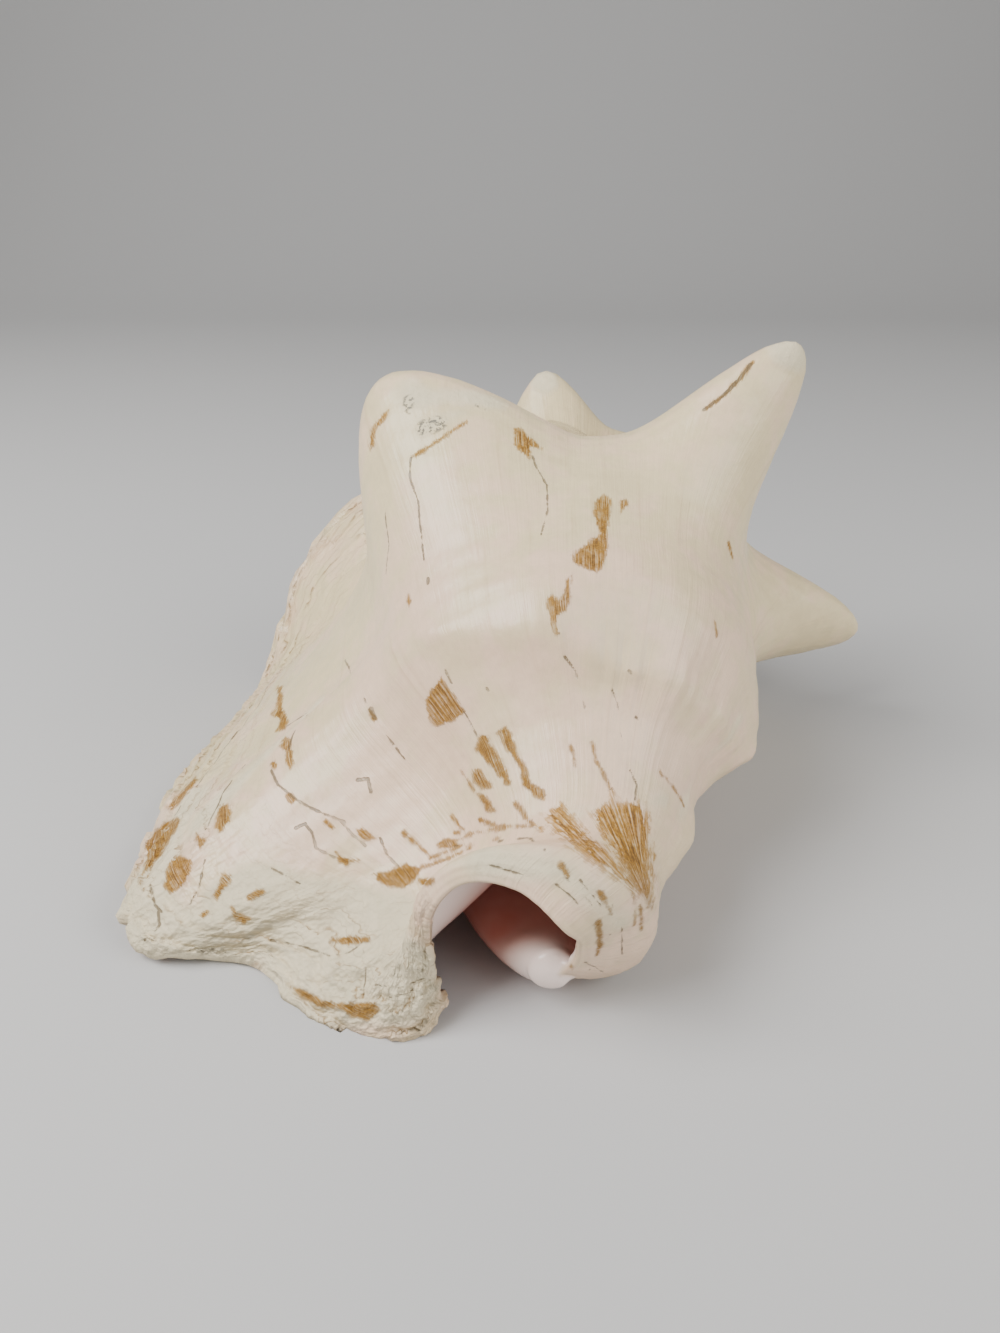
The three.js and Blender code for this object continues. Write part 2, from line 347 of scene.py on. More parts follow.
class TreeModifier:
    """Geometry node tree used once on a mesh and then taken off."""

    def __init__(self, name: str, inputs: dict) -> None:
        """Makes the tree with its inputs.

        Args:
            name: Name of the tree.
            inputs: Constants by input name.
        """
        self.tree = bpy.data.node_groups.new(name, "GeometryNodeTree")
        face = self.tree.interface
        face.new_socket("Geometry", in_out="INPUT", socket_type="NodeSocketGeometry")
        face.new_socket("Geometry", in_out="OUTPUT", socket_type="NodeSocketGeometry")
        self.inputs = dict(inputs)
        self.keys = {}
        for label, value in inputs.items():
            kind = "NodeSocketVector" if isinstance(value, tuple) else "NodeSocketFloat"
            self.keys[label] = face.new_socket(label, in_out="INPUT", socket_type=kind).identifier
        key = face.new_socket("Material", in_out="INPUT", socket_type="NodeSocketMaterial").identifier
        self.material_key = key
        self.nodes = Nodes(self.tree)
        self.source = self.nodes.add("NodeGroupInput")

    def given(self, label: str) -> Socket:
        """Finds a named input.

        Args:
            label: Name of the input.

        Returns:
            Its socket.
        """
        return self.source.outputs[label]

    def mark(self, name: str) -> Socket:
        """Reads a number kept on the vertices.

        Args:
            name: Name of the number.

        Returns:
            Its socket.
        """
        node = self.nodes.add("GeometryNodeInputNamedAttribute", {"Name": str(name)}, data_type="FLOAT")
        return node.outputs[0]

    def close(self, **move: Socket) -> None:
        """Ends the tree by moving the vertices.

        Args:
            move: Position or offset socket by input name.
        """
        nodes = self.nodes
        moved = nodes.add("GeometryNodeSetPosition", {"Geometry": self.source.outputs[0], **move})
        real = nodes.add("GeometryNodeRealizeInstances", {0: moved.outputs[0]})
        dress = nodes.add("GeometryNodeSetMaterial", {"Geometry": real.outputs[0]})
        nodes.feed(dress.inputs["Material"], self.given("Material"))
        nodes.add("NodeGroupOutput", {0: dress.outputs[0]})

    def apply(self, thing: bpy.types.Object, material: bpy.types.Material | None = None) -> bpy.types.Mesh:
        """Runs the tree on an object.

        Args:
            thing: Object to run it on.
            material: Material set by the tree.

        Returns:
            The new plain mesh.
        """
        modifier = thing.modifiers.new(self.tree.name, "NODES")
        modifier.node_group = self.tree
        for label, key in self.keys.items():
            modifier[key] = self.inputs[label]
        if material is not None:
            modifier[self.material_key] = material
        made = plain_mesh(thing)
        thing.modifiers.remove(modifier)
        return made


def plain_mesh(thing: bpy.types.Object) -> bpy.types.Mesh:
    """Copies an object's mesh with its modifiers applied.

    Args:
        thing: Object to copy.

    Returns:
        The plain mesh.
    """
    bpy.context.view_layer.update()
    graph = bpy.context.evaluated_depsgraph_get()
    return bpy.data.meshes.new_from_object(thing.evaluated_get(graph), depsgraph=graph)


def read_points(mesh: bpy.types.Mesh) -> np.ndarray:
    """Reads a mesh's vertices.

    Args:
        mesh: Mesh to read.

    Returns:
        One row for each vertex.
    """
    flat = np.empty(len(mesh.vertices) * 3)
    mesh.vertices.foreach_get("co", flat)
    return flat.reshape(-1, 3)


def write_mark(mesh: bpy.types.Mesh, name: str, values: np.ndarray) -> None:
    """Keeps a number on every vertex.

    Args:
        mesh: Mesh that gets the numbers.
        name: Name of the number.
        values: One number for each vertex.
    """
    layer = mesh.attributes.get(name) or mesh.attributes.new(name, "FLOAT", "POINT")
    layer.data.foreach_set("value", np.asarray(values, np.float32))


def read_mark(mesh: bpy.types.Mesh, name: str) -> np.ndarray:
    """Reads a number kept on every vertex.

    Args:
        mesh: Mesh to read.
        name: Name of the number.

    Returns:
        One number for each vertex.
    """
    values = np.empty(len(mesh.vertices), np.float32)
    mesh.attributes[name].data.foreach_get("value", values)
    return values


@dataclass(frozen=True)
class Spine:
    """Spine or knob on the whorl."""

    turn: float
    place: float
    height: float
    reach: float
    rise: float
    lean: float
    blunt: float
    sharp: float


@dataclass
class Coil:
    """Rule by which the shell grows: a whorl's outline that widens as it turns about the axis."""

    length: float = 225.0
    canal_tip: tuple = (14.0, -101.5, 24.0)
    yaw: float = -2.5
    tilt: float = 15.0
    canal_lift: float = 13.0
    canal_swing: float = -24.0
    bend_from: float = 0.72
    growth: float = 1.6
    full_turn: float = 250.0
    outline_step: float = 24.0
    outline: tuple = (
        (51, -62), (68, -72), (82, -88), (86, -112), (86, -134),
        (82, -156), (49, -180), (30, -207), (31, -219), (21, -229),
    )
    rim_reach: tuple = ((-60, 0), (0, 2), (35, 5), (80, -2), (120, -5), (155, -3))
    rim_from: float = 0.82
    follow: tuple = (
        (1, 1), (1, 1), (1, 1), (1.1, 0.9), (1.25, 0.6),
        (1.28, 0.4), (1.15, 0.2), (0.5, 0.1), (0, 0), (0, 0),
    )
    old_heights: tuple = ((-128, 18), (-165, 20), (-200, 20), (-228, 18), (-256, 36), (-291, 15))
    spire_turn: float = -326.0
    spire_gap: float = 36.0
    spire_height: float = 17.0
    spire_count: int = 26
    old_reach: float = 0.85
    old_rise: float = 0.95
    old_lean: float = 30.0
    old_blunt: float = 0.12
    old_sharp: float = 1.8
    full_tip: float = 12.0
    spines: list[Spine] = field(default_factory=list)

    def __post_init__(self) -> None:
        """Lists the spines and builds the tree of the growth rule."""
        self.steps = len(self.outline) - 1
        self.shoulder = 2 / self.steps
        self.spines = [
            Spine(132, self.shoulder, 41, 50, 60, 24, 0.4, 1.6),
            Spine(54, self.shoulder, 52.5, 46, 46, 14, 0.36, 3.5),
            Spine(-14, self.shoulder, 57.5, 48, 48, 0, 0.3, 3.2),
            Spine(-52, self.shoulder, 37, 32, 30, 8, 0.2, 1.8),
            Spine(-92, self.shoulder, 6, 22, 20, 10, 0.1, 2),
            Spine(-4, 0.6, 8, 28, 18, 0, 0.2, 1.6),
            Spine(30, 0.63, 3, 26, 16, 0, 0.2, 1.6),
            Spine(60, 0.625, 4, 24, 16, 0, 0.2, 1.6),
            Spine(104, 0.59, 4, 28, 14, 0, 0.2, 1.6),
            Spine(8, 0.735, 4, 22, 13, 0, 0.2, 1.6),
            Spine(-45, 0.9, 9, 44, 30, 0, 0.3, 1.4),
        ]
        turns = [self.spire_turn - self.spire_gap * count for count in range(self.spire_count)]
        heights = [self.spire_height * self.growth ** ((turn - self.spire_turn) / 360) for turn in turns]
        for turn, height in [*self.old_heights, *zip(turns, heights)]:
            reach, rise = height * self.old_reach, height * self.old_rise
            shape = self.old_lean, self.old_blunt, self.old_sharp
            self.spines.append(Spine(turn, self.shoulder, height, reach, rise, *shape))
        spin = self.turn_matrix()
        self.tip = spin @ np.array([0.0, self.length, 0.0]) + np.array(self.canal_tip)
        self.rule = self.build_rule()

    def turn_matrix(self) -> np.ndarray:
        """Rotation of the coil's axis.

        Returns:
            A 3 by 3 matrix.
        """
        yaw, tilt = math.radians(self.yaw), math.radians(self.tilt)
        cos_yaw, sin_yaw, cos_tilt, sin_tilt = math.cos(yaw), math.sin(yaw), math.cos(tilt), math.sin(tilt)
        about_z = np.array([[cos_yaw, -sin_yaw, 0], [sin_yaw, cos_yaw, 0], [0, 0, 1]])
        about_x = np.array([[1, 0, 0], [0, cos_tilt, -sin_tilt], [0, sin_tilt, cos_tilt]])
        return about_z @ about_x

    def build_rule(self) -> TreeModifier:
        """Builds the tree that places the vertices by the growth rule.

        Returns:
            The tree.
        """
        tree = TreeModifier("growth rule", {
            "Growth per turn": self.growth,
            "Full size turn": self.full_turn,
            "Canal swing": self.canal_swing,
            "Canal lift": self.canal_lift,
            "Axis": (math.radians(self.tilt), 0.0, math.radians(self.yaw)),
            "Spire tip": tuple(self.tip),
        })
        nodes = tree.nodes
        past = nodes.math("SUBTRACT", tree.mark("turn"), tree.given("Full size turn"))
        turns = nodes.math("DIVIDE", past, 360.0)

        def grown(size: str, follow: str, lift: str) -> Socket:
            """Grows one measure of the outline.

            Args:
                size: Name of the measure at full size.
                follow: Name of its share in the growth.
                lift: Name of what is added.

            Returns:
                The grown measure.
            """
            power = nodes.math("MULTIPLY", turns, tree.mark(follow))
            scale = nodes.math("POWER", tree.given("Growth per turn"), power)
            return nodes.math("MULTIPLY_ADD", tree.mark(size), scale, tree.mark(lift))

        out = grown("out", "follow_out", "lift_out")
        down = grown("down", "follow_down", "lift_down")
        angle = nodes.math("RADIANS", tree.mark("turn"))
        bend = tree.mark("bend")
        swing = nodes.math("MULTIPLY", bend, tree.given("Canal swing"))
        lift = nodes.math("MULTIPLY", bend, tree.given("Canal lift"))
        across = nodes.math("MULTIPLY_ADD", out, nodes.math("COSINE", angle), swing)
        up = nodes.math("MULTIPLY_ADD", out, nodes.math("SINE", angle), lift)
        spun = nodes.add("ShaderNodeVectorRotate", rotation_type="EULER_XYZ")
        nodes.feed(spun.inputs["Vector"], nodes.vector(across, down, up))
        nodes.feed(spun.inputs["Rotation"], tree.given("Axis"))
        placed = nodes.add("ShaderNodeVectorMath", {0: spun.outputs[0]}, operation="ADD")
        nodes.feed(placed.inputs[1], tree.given("Spire tip"))
        tree.close(Position=placed.outputs[0])
        return tree

    def spine_lift(self, turn: np.ndarray, along: np.ndarray) -> tuple[np.ndarray, np.ndarray, np.ndarray]:
        """Lift of all spines.

        Args:
            turn: Angles of the points.
            along: Their places on the outline.

        Returns:
            Lift outwards, lift along the axis, and how near the points are to a spine's tip.
        """
        out, down, tip = np.zeros_like(turn), np.zeros_like(turn), np.zeros_like(turn)
        for spine in self.spines:
            size = self.growth ** ((spine.turn - self.full_turn) / 360)
            round_it = np.radians(turn - spine.turn) * size * self.outline[2][0] / spine.reach
            across = (along - spine.place) * self.steps * self.outline_step * size / spine.rise
            dome = spine.blunt / 2
            away = (np.sqrt(round_it**2 + across**2 + dome**2) - dome) / (1 - dome)
            near = np.clip(1 - away, 0.0, 1.0) ** spine.sharp
            out += spine.height * near * math.cos(math.radians(spine.lean))
            down += spine.height * near * math.sin(math.radians(spine.lean))
            tip = np.maximum(tip, near * min(1.0, spine.height / self.full_tip))
        return out, down, tip

    def points(self, turn: np.ndarray, along: np.ndarray, share: float = 1.0) -> np.ndarray:
        """Places points on the coiling surface.

        Args:
            turn: Angles of the points.
            along: Their places on the outline.
            share: Share of the spines' height.

        Returns:
            One row for each point.
        """
        outline = spline(np.array(self.outline, float), along)
        follow = spline(np.array(self.follow, float), along)
        out, down, _ = self.spine_lift(turn, along)
        reach = through_rows(np.array(self.rim_reach, float), turn)[:, 0]
        reach *= smoothstep(along, self.rim_from, 1.0)
        mesh = bpy.data.meshes.new("coil")
        mesh.vertices.add(len(turn))
        numbers = {
            "turn": turn, "out": outline[:, 0], "down": outline[:, 1], "follow_out": follow[:, 0],
            "follow_down": follow[:, 1], "lift_out": out * share, "lift_down": down * share - reach,
            "bend": smoothstep(along, self.bend_from, 1.0),
        }
        for name, values in numbers.items():
            write_mark(mesh, name, values)
        carrier = bpy.data.objects.new("coil", mesh)
        bpy.context.scene.collection.objects.link(carrier)
        made = self.rule.apply(carrier)
        placed = read_points(made)
        bpy.data.objects.remove(carrier)
        for spent in (mesh, made):
            bpy.data.meshes.remove(spent)
        return placed

    def axis_point(self, down: float) -> np.ndarray:
        """Point on the axis.

        Args:
            down: Distance from the spire's tip, negative towards the canal.

        Returns:
            The point.
        """
        return self.turn_matrix() @ np.array([0.0, down, 0.0]) + self.tip

    def to_axis(self, points: np.ndarray) -> np.ndarray:
        """Nearest points on the axis.

        Args:
            points: Points near the axis.

        Returns:
            One point on the axis for each.
        """
        direction = self.turn_matrix()[:, 1]
        return self.tip + ((points - self.tip) @ direction)[:, None] * direction


@dataclass
class OlderWhorls:
    """Spire and older whorls: one coiled strip, each turn joined to the one before."""

    coil: Coil
    first: float = -1550.0
    last: float = -110.0
    step: float = 3.0
    seam_rows: tuple = (0.05, 0.08, 0.11, 0.14, 0.165, 0.185, 0.205, 2 / 9, 0.24, 0.26, 0.28)
    base_rows: tuple = (0.32, 0.36, 0.4, 0.45, 0.5, 0.54, 0.58, 0.62, 0.66, 0.7, 0.74, 0.78)
    foot: float = 190.0
    foot_along: float = 0.8
    draw: float = 0.5
    draw_range: tuple = (0.5, 0.8)
    hidden: tuple = (0.28, 0.36)
    lip_away: float = 200.0

    def build(self) -> Part:
        """Builds the filled body.

        Returns:
            The closed part.
        """
        rows, per_turn = len(self.seam_rows), round(360 / self.step)
        columns = round((self.last - self.first) / self.step)
        turns = self.first + self.step * np.arange(columns + 1)
        turn, along = (grid.ravel() for grid in np.meshgrid(turns, self.seam_rows, indexing="ij"))
        strip = self.coil.points(turn, along)
        grids = np.meshgrid(turns[columns - per_turn:], self.base_rows, indexing="ij")
        base_turn, base_along = (grid.ravel() for grid in grids)
        base = self.coil.points(base_turn, base_along)
        pull = self.draw * smoothstep(base_along, *self.draw_range)[:, None]
        base += (self.coil.to_axis(base) - base) * pull
        ends = np.array([self.coil.axis_point(0.0), self.coil.axis_point(-self.foot)])
        points = np.vstack([strip, base, ends])
        tip, foot, depth = len(points) - 2, len(points) - 1, len(self.base_rows)

        def at(column: int, row: int) -> int:
            """Finds a point of the strip, or before its first row the one a turn earlier.

            Args:
                column: Number of the column.
                row: Number of the row.

            Returns:
                Number of the point.
            """
            if row >= 0:
                return column * rows + row
            return tip if column < per_turn else (column - per_turn) * rows + rows - 1

        def below(column: int, row: int) -> int:
            """Finds a point of the base, which starts at the strip's last row and ends at the foot.

            Args:
                column: Number of the column.
                row: Number of the row.

            Returns:
                Number of the point.
            """
            if row < 0:
                return at(column, rows - 1)
            return len(strip) + (column - columns + per_turn) * depth + row if row < depth else foot

        def quad(find: Callable[[int, int], int], first: int, second: int, row: int) -> list[int]:
            """Joins two columns by one face.

            Args:
                find: Finds a point.
                first: First column.
                second: Second column.
                row: Row that the face starts at.

            Returns:
                The corners, each once.
            """
            ring = [find(first, row), find(first, row + 1), find(second, row + 1), find(second, row)]
            return list(dict.fromkeys(ring))

        faces = []
        for column in range(columns):
            faces += [quad(at, column, column + 1, row) for row in range(-1, rows - 1)]
        faces += [[tip, at(0, row + 1), at(0, row)] for row in range(rows - 1)]
        first = columns - per_turn
        for column in range(first, columns):
            faces += [quad(below, column, column + 1, row) for row in range(-1, depth)]
        faces += [[at(columns, -1), at(columns, row - 1), at(columns, row)] for row in range(1, rows)]
        faces += [quad(below, columns, first, row) for row in range(-1, depth)]
        all_turn = np.concatenate([turn, base_turn, [self.first, self.last]])
        all_along = np.concatenate([along, base_along, [0.0, self.foot_along]])
        tips = self.coil.spine_lift(all_turn, all_along)[2]
        marks = {
            Mark.TURN: all_turn, Mark.ALONG: all_along, Mark.TIP: tips,
            Mark.LIP: np.full(len(points), self.lip_away), Mark.INSIDE: smoothstep(all_along, *self.hidden),
        }
        return Part("older whorls", points, faces, marks)


@dataclass
class BodyWhorl:
    """Wall of the last whorl and its flaring lip, with rounded free edges."""

    coil: Coil
    root: float = -118.0
    free: float = -106.0
    wing: float = 155.0
    wing_span: float = 100.0
    canal_root: float = -60.0
    canal_root_from: float = 0.6
    sink: float = 1.5
    inner_share: float = 0.45
    whorl_columns: int = 224
    wing_columns: int = 84
    rows: int = 134
    rim_steps: int = 5
    rim_bulge: float = 0.8
    rim_ease: float = 8.0
    rim_inside: tuple = (0.2, 1.0)
    border_from: float = 0.97
    border_share: float = 0.06
    lip_per_degree: float = 1.5
    probe: float = 0.3
    chip_count: int = 64
    chip_depth: float = 1.6
    chip_seed: int = 5
    chip_range: tuple = (-1.0, 0.6)
    chip_sharp: int = 8
    leave: float = 0.9
    arrive: float = 0.6
    lip_edge: tuple = (
        (0.0, -14, 82, 80), (0.04, -60, 94, 86), (0.08, -94, 98, 55), (0.14, -111, 82, 12),
        (0.25, -119, 50, 3), (0.38, -131, -2, 5), (0.51, -129, -50, 9), (0.59, -125, -73, 10),
        (0.65, -112, -84, 6), (0.71, -90, -82, 3), (0.8, -66, -101, 0), (0.9, -42, -111, 0),
        (0.95, -32, -109, 1), (1.0, -28, -103, 5),
    )
    whorl_wall: tuple = ((0, 5), (0.75, 5), (1, 2.5))
    lip_wall: tuple = ((0, 4), (0.13, 5), (0.38, 7), (0.59, 8), (0.71, 6), (0.85, 4.5), (1, 3))

    def opened(self, column: np.ndarray, along: np.ndarray) -> np.ndarray:
        """Angle of a column, which starts later towards the canal so that it stays open below.

        Args:
            column: Nominal angles.
            along: Places on the outline.

        Returns:
            The angles used.
        """
        root = self.root + (self.canal_root - self.root) * smoothstep(along, self.canal_root_from, 1.0)
        return root + (column - self.root) * (self.wing - root) / (self.wing - self.root)

    def sheet(self, share: float) -> np.ndarray:
        """Places the points of the sheet.

        Args:
            share: Share of the spines' height.

        Returns:
            Array of columns, rows and coordinates.
        """
        columns = np.linspace(self.root, self.wing, self.whorl_columns + 1)
        column, along = (grid.ravel() for grid in np.meshgrid(columns, self.places, indexing="ij"))
        whorl = self.coil.points(self.opened(column, along), along, share)
        whorl = whorl.reshape(len(columns), -1, 3)
        ahead, behind = (
            self.coil.points(np.full(self.rows + 1, self.wing + turn), self.places, share)
            for turn in (self.probe, -self.probe)
        )
        start, end = whorl[-1], through_rows(np.array(self.lip_edge, float), self.places)
        chord = end - start
        length = np.linalg.norm(chord, axis=1, keepdims=True)
        direction = (ahead - behind) / np.linalg.norm(ahead - behind, axis=1, keepdims=True)
        steps = np.linspace(0.0, 1.0, self.wing_columns + 1)[1:, None, None]
        wing = hermite(steps, start, direction * length * self.leave, end, chord * self.arrive)
        knots = np.random.default_rng(self.chip_seed).uniform(*self.chip_range, self.chip_count)
        chips = np.interp(self.places, np.linspace(0.0, 1.0, self.chip_count), knots) * self.chip_depth
        wing += chord / length * chips[:, None] * steps**self.chip_sharp
        self.lip_length = length[:, 0]
        return np.concatenate([whorl, wing])

    def normals(self, sheet: np.ndarray) -> np.ndarray:
        """Outward directions of a sheet, kept from just inside its free borders.

        Args:
            sheet: Points of the sheet.

        Returns:
            One direction for each point.
        """
        forward, across = np.gradient(sheet, axis=0), np.gradient(sheet, axis=1)
        normal = np.cross(forward, across)
        normal /= np.linalg.norm(normal, axis=2, keepdims=True)
        limit = int(np.searchsorted(self.places, self.border_from))
        normal[:, limit:] = normal[:, limit - 1:limit]
        margin = max(1, round(self.wing_columns * self.border_share))
        normal[-margin:] = normal[-margin - 1]
        return normal

    def build(self) -> Part:
        """Builds the wall between its outer and inner sheets.

        Returns:
            The closed part.
        """
        self.places = np.linspace(0.0, 1.0, self.rows + 1)
        outer, low = self.sheet(1.0), self.sheet(self.inner_share)
        normal = self.normals(low)
        count, rows = outer.shape[0], outer.shape[1]
        nominal = np.concatenate([
            np.linspace(self.root, self.wing, self.whorl_columns + 1),
            self.wing + np.linspace(0.0, self.wing_span, self.wing_columns + 1)[1:],
        ])
        column, along = np.meshgrid(nominal, self.places, indexing="ij")
        turn = np.where(column < self.wing, self.opened(column, along), column)
        step = np.clip((column - self.wing) / self.wing_span, 0.0, 1.0)
        whorl_wall = through_rows(np.array(self.whorl_wall, float), self.places)[:, 0]
        lip_wall = through_rows(np.array(self.lip_wall, float), self.places)[:, 0]
        wall = whorl_wall + (lip_wall - whorl_wall) * step
        sunk = self.sink * (1 - smoothstep(column, self.root, self.free))
        outer = outer - normal * sunk[..., None]
        inner = low - normal * wall[..., None]
        tips = self.coil.spine_lift(turn.ravel(), along.ravel())[2].reshape(turn.shape)
        fade = np.where(step > 0, (1 - step) ** 2, 1.0)
        before = self.lip_length + (self.wing - column) * self.lip_per_degree
        lip = np.where(step > 0, (1 - step) * self.lip_length, before)
        marks = {Mark.TURN: turn, Mark.ALONG: along, Mark.TIP: tips * fade, Mark.LIP: lip}
        return self.stitch(outer, inner, marks, count, rows)

    def stitch(self, outer: np.ndarray, inner: np.ndarray, marks: dict, count: int, rows: int) -> Part:
        """Joins the sheets by a rounded rim, the inner one at half the fineness.

        Args:
            outer: Points of the outer sheet.
            inner: Points of the inner sheet.
            marks: Numbers on the outer sheet.
            count: Number of columns.
            rows: Number of rows.

        Returns:
            The closed part.
        """
        loop = [(c, 0) for c in range(count - 1)] + [(count - 1, r) for r in range(rows - 1)]
        loop += [(c, rows - 1) for c in range(count - 1, 0, -1)] + [(0, r) for r in range(rows - 1, 0, -1)]
        columns, places = np.array(loop).T
        edge, back = outer[columns, places], inner[columns, places]
        inward = outer[np.clip(columns, 1, count - 2), np.clip(places, 1, rows - 2)]
        away, half = edge - inward, (edge - back) / 2
        size = np.linalg.norm(half, axis=1, keepdims=True)
        away -= half * (np.sum(away * half, axis=1, keepdims=True) / size**2)
        away *= size / np.linalg.norm(away, axis=1, keepdims=True)
        wing_from = self.whorl_columns
        bulge = np.where(places == rows - 1, 1.0, smoothstep(columns, wing_from, wing_from + self.rim_ease))
        bulge = np.where(columns == 0, 0.0, bulge)[:, None] * self.rim_bulge
        points, labels = [outer.reshape(-1, 3)], [np.zeros(count * rows)]
        for step in range(1, self.rim_steps):
            angle = math.pi * step / self.rim_steps
            points.append((edge + back) / 2 + half * math.cos(angle) + away * bulge * math.sin(angle))
            labels.append(np.full(len(loop), smoothstep(np.array(step / self.rim_steps), *self.rim_inside)))
        points.append(inner[::2, ::2].reshape(-1, 3))
        small = (rows + 1) // 2
        labels.append(np.ones(points[-1].shape[0]))
        inner_from = count * rows + (self.rim_steps - 1) * len(loop)
        faces = []
        index = np.arange(count * rows).reshape(count, rows)
        corners = [index[:-1, :-1], index[:-1, 1:], index[1:, 1:], index[1:, :-1]]
        faces += np.stack(corners, -1).reshape(-1, 4).tolist()
        index = inner_from + np.arange(((count + 1) // 2) * small).reshape(-1, small)
        corners = [index[:-1, :-1], index[1:, :-1], index[1:, 1:], index[:-1, 1:]]
        faces += np.stack(corners, -1).reshape(-1, 4).tolist()
        ring = columns * rows + places
        for step in range(1, self.rim_steps):
            after = count * rows + (step - 1) * len(loop) + np.arange(len(loop))
            faces += np.stack([ring, np.roll(ring, -1), np.roll(after, -1), after], -1).tolist()
            ring = after
        border = inner_from + (columns[::2] // 2) * small + places[::2] // 2
        first, middle, last = ring[::2], ring[1::2], np.roll(ring[::2], -1)
        following = np.roll(border, -1)
        for corners in ((first, middle, border), (middle, following, border), (middle, last, following)):
            faces += np.stack(corners, -1).tolist()
        full = {}
        for name, values in marks.items():
            rim = np.tile(values[columns, places], self.rim_steps - 1)
            full[name] = np.concatenate([values.ravel(), rim, values[::2, ::2].ravel()])
        full[Mark.INSIDE] = np.concatenate(labels)
        return Part("body whorl", np.vstack(points), faces, full)


@dataclass
class InnerLip:
    """Inner lip: an oval bar from the pink knob at the canal back to the older whorl."""

    rings: int = 60
    facets: int = 40
    rows: tuple = (
        (3.5, -101, 17, 7, 7), (1, -94, 13, 9.5, 8), (-1, -86, 10.5, 13, 8), (-4, -74, 10.5, 17, 9),
        (-5, -54, 13, 25, 12), (-3, -22, 26, 34, 20), (4, 10, 40, 38, 27), (12, 45, 54, 32, 25),
    )
    round_front: int = 6
    front_angle: float = 75.0
    front_depth: float = 0.55
    turn: float = -100.0
    along: float = 0.7
    lip_away: float = 200.0

    def build(self) -> Part:
        """Builds the bar.

        Returns:
            The closed part.
        """
        places = np.linspace(0.0, 1.0, len(self.rows))
        table = np.column_stack([places, np.array(self.rows, float)])
        rings = through_rows(table, np.linspace(0.0, 1.0, self.rings + 1))
        dome = np.radians(np.linspace(self.front_angle, 0.0, self.round_front, endpoint=False))
        front = np.repeat(rings[:1], self.round_front, axis=0)
        front[:, 1] -= front[:, 3] * self.front_depth * np.sin(dome)
        front[:, 3:] *= np.cos(dome)[:, None]
        rings = np.vstack([front, rings])
        angle = np.linspace(0.0, 2 * math.pi, self.facets, endpoint=False)
        points = np.empty((len(rings), self.facets, 3))
        points[..., 0] = rings[:, :1] + rings[:, 3:4] * np.cos(angle)
        points[..., 1] = rings[:, 1:2]
        points[..., 2] = rings[:, 2:3] + rings[:, 4:5] * np.sin(angle)
        index = np.arange(points.shape[0] * self.facets).reshape(-1, self.facets)
        after = np.roll(index, -1, axis=1)
        faces = np.stack([index[:-1], after[:-1], after[1:], index[1:]], -1).reshape(-1, 4).tolist()
        faces += [index[0][::-1].tolist(), index[-1].tolist()]
        total = index.size
        marks = {
            Mark.TURN: np.full(total, self.turn), Mark.ALONG: np.full(total, self.along),
            Mark.TIP: np.zeros(total), Mark.LIP: np.full(total, self.lip_away), Mark.INSIDE: np.ones(total),
        }
        return Part("inner lip", points.reshape(-1, 3), faces, marks)


@dataclass(frozen=True)
class PhotoCamera:
    """Camera at the photo's place, in millimetres and pixels."""

    place: tuple = (-11.8, -301.1, 230.0)
    pitch: float = 30.0
    focal: float = 1003.0
    width: int = 1000
    height: int = 1333
    sensor: float = 36.0
    clip: tuple = (0.01, 50.0)

    def ray(self, pixel: tuple) -> Vector:
        """Direction through a pixel.

        Args:
            pixel: Column and row in the picture.

        Returns:
            The direction, of length one.
        """
        right = (pixel[0] - self.width / 2) / self.focal
        down = (pixel[1] - self.height / 2) / self.focal
        cos, sin = math.cos(math.radians(self.pitch)), math.sin(math.radians(self.pitch))
        return Vector((right, cos - down * sin, -sin - down * cos)).normalized()

    def project(self, points: np.ndarray) -> tuple[np.ndarray, np.ndarray]:
        """Finds where points appear in the picture.

        Args:
            points: Points, one row each.

        Returns:
            Their pixels and their distances along the view.
        """
        cos, sin = math.cos(math.radians(self.pitch)), math.sin(math.radians(self.pitch))
        right, ahead, up = (points - np.array(self.place)).T
        depth = ahead * cos - up * sin
        across, above = right / depth, (ahead * sin + up * cos) / depth
        columns, rows = self.width / 2 + self.focal * across, self.height / 2 - self.focal * above
        return np.column_stack([columns, rows]), depth

    def make(self) -> None:
        """Adds the camera to the scene."""
        data = bpy.data.cameras.new("photo camera")
        data.sensor_fit, data.sensor_width = "HORIZONTAL", self.sensor
        data.lens = self.sensor * self.focal / self.width
        data.clip_start, data.clip_end = self.clip
        made = bpy.data.objects.new("photo camera", data)
        made.location = [value * METRES for value in self.place]
        made.rotation_euler = (math.radians(90.0 - self.pitch), 0.0, 0.0)
        bpy.context.scene.collection.objects.link(made)
        bpy.context.scene.camera = made


@dataclass(frozen=True)
class Stroke:
    """Mark seen on the shell: a line through picture points, with its half width in pixels at both ends."""

    start: float
    end: float
    pixels: tuple


def strokes(*rows: tuple) -> tuple:
    """Lists strokes.

    Args:
        rows: Half width at the start and the end, then the picture points.

    Returns:
        The strokes.
    """
    return tuple(Stroke(row[0], row[1], row[2:]) for row in rows)


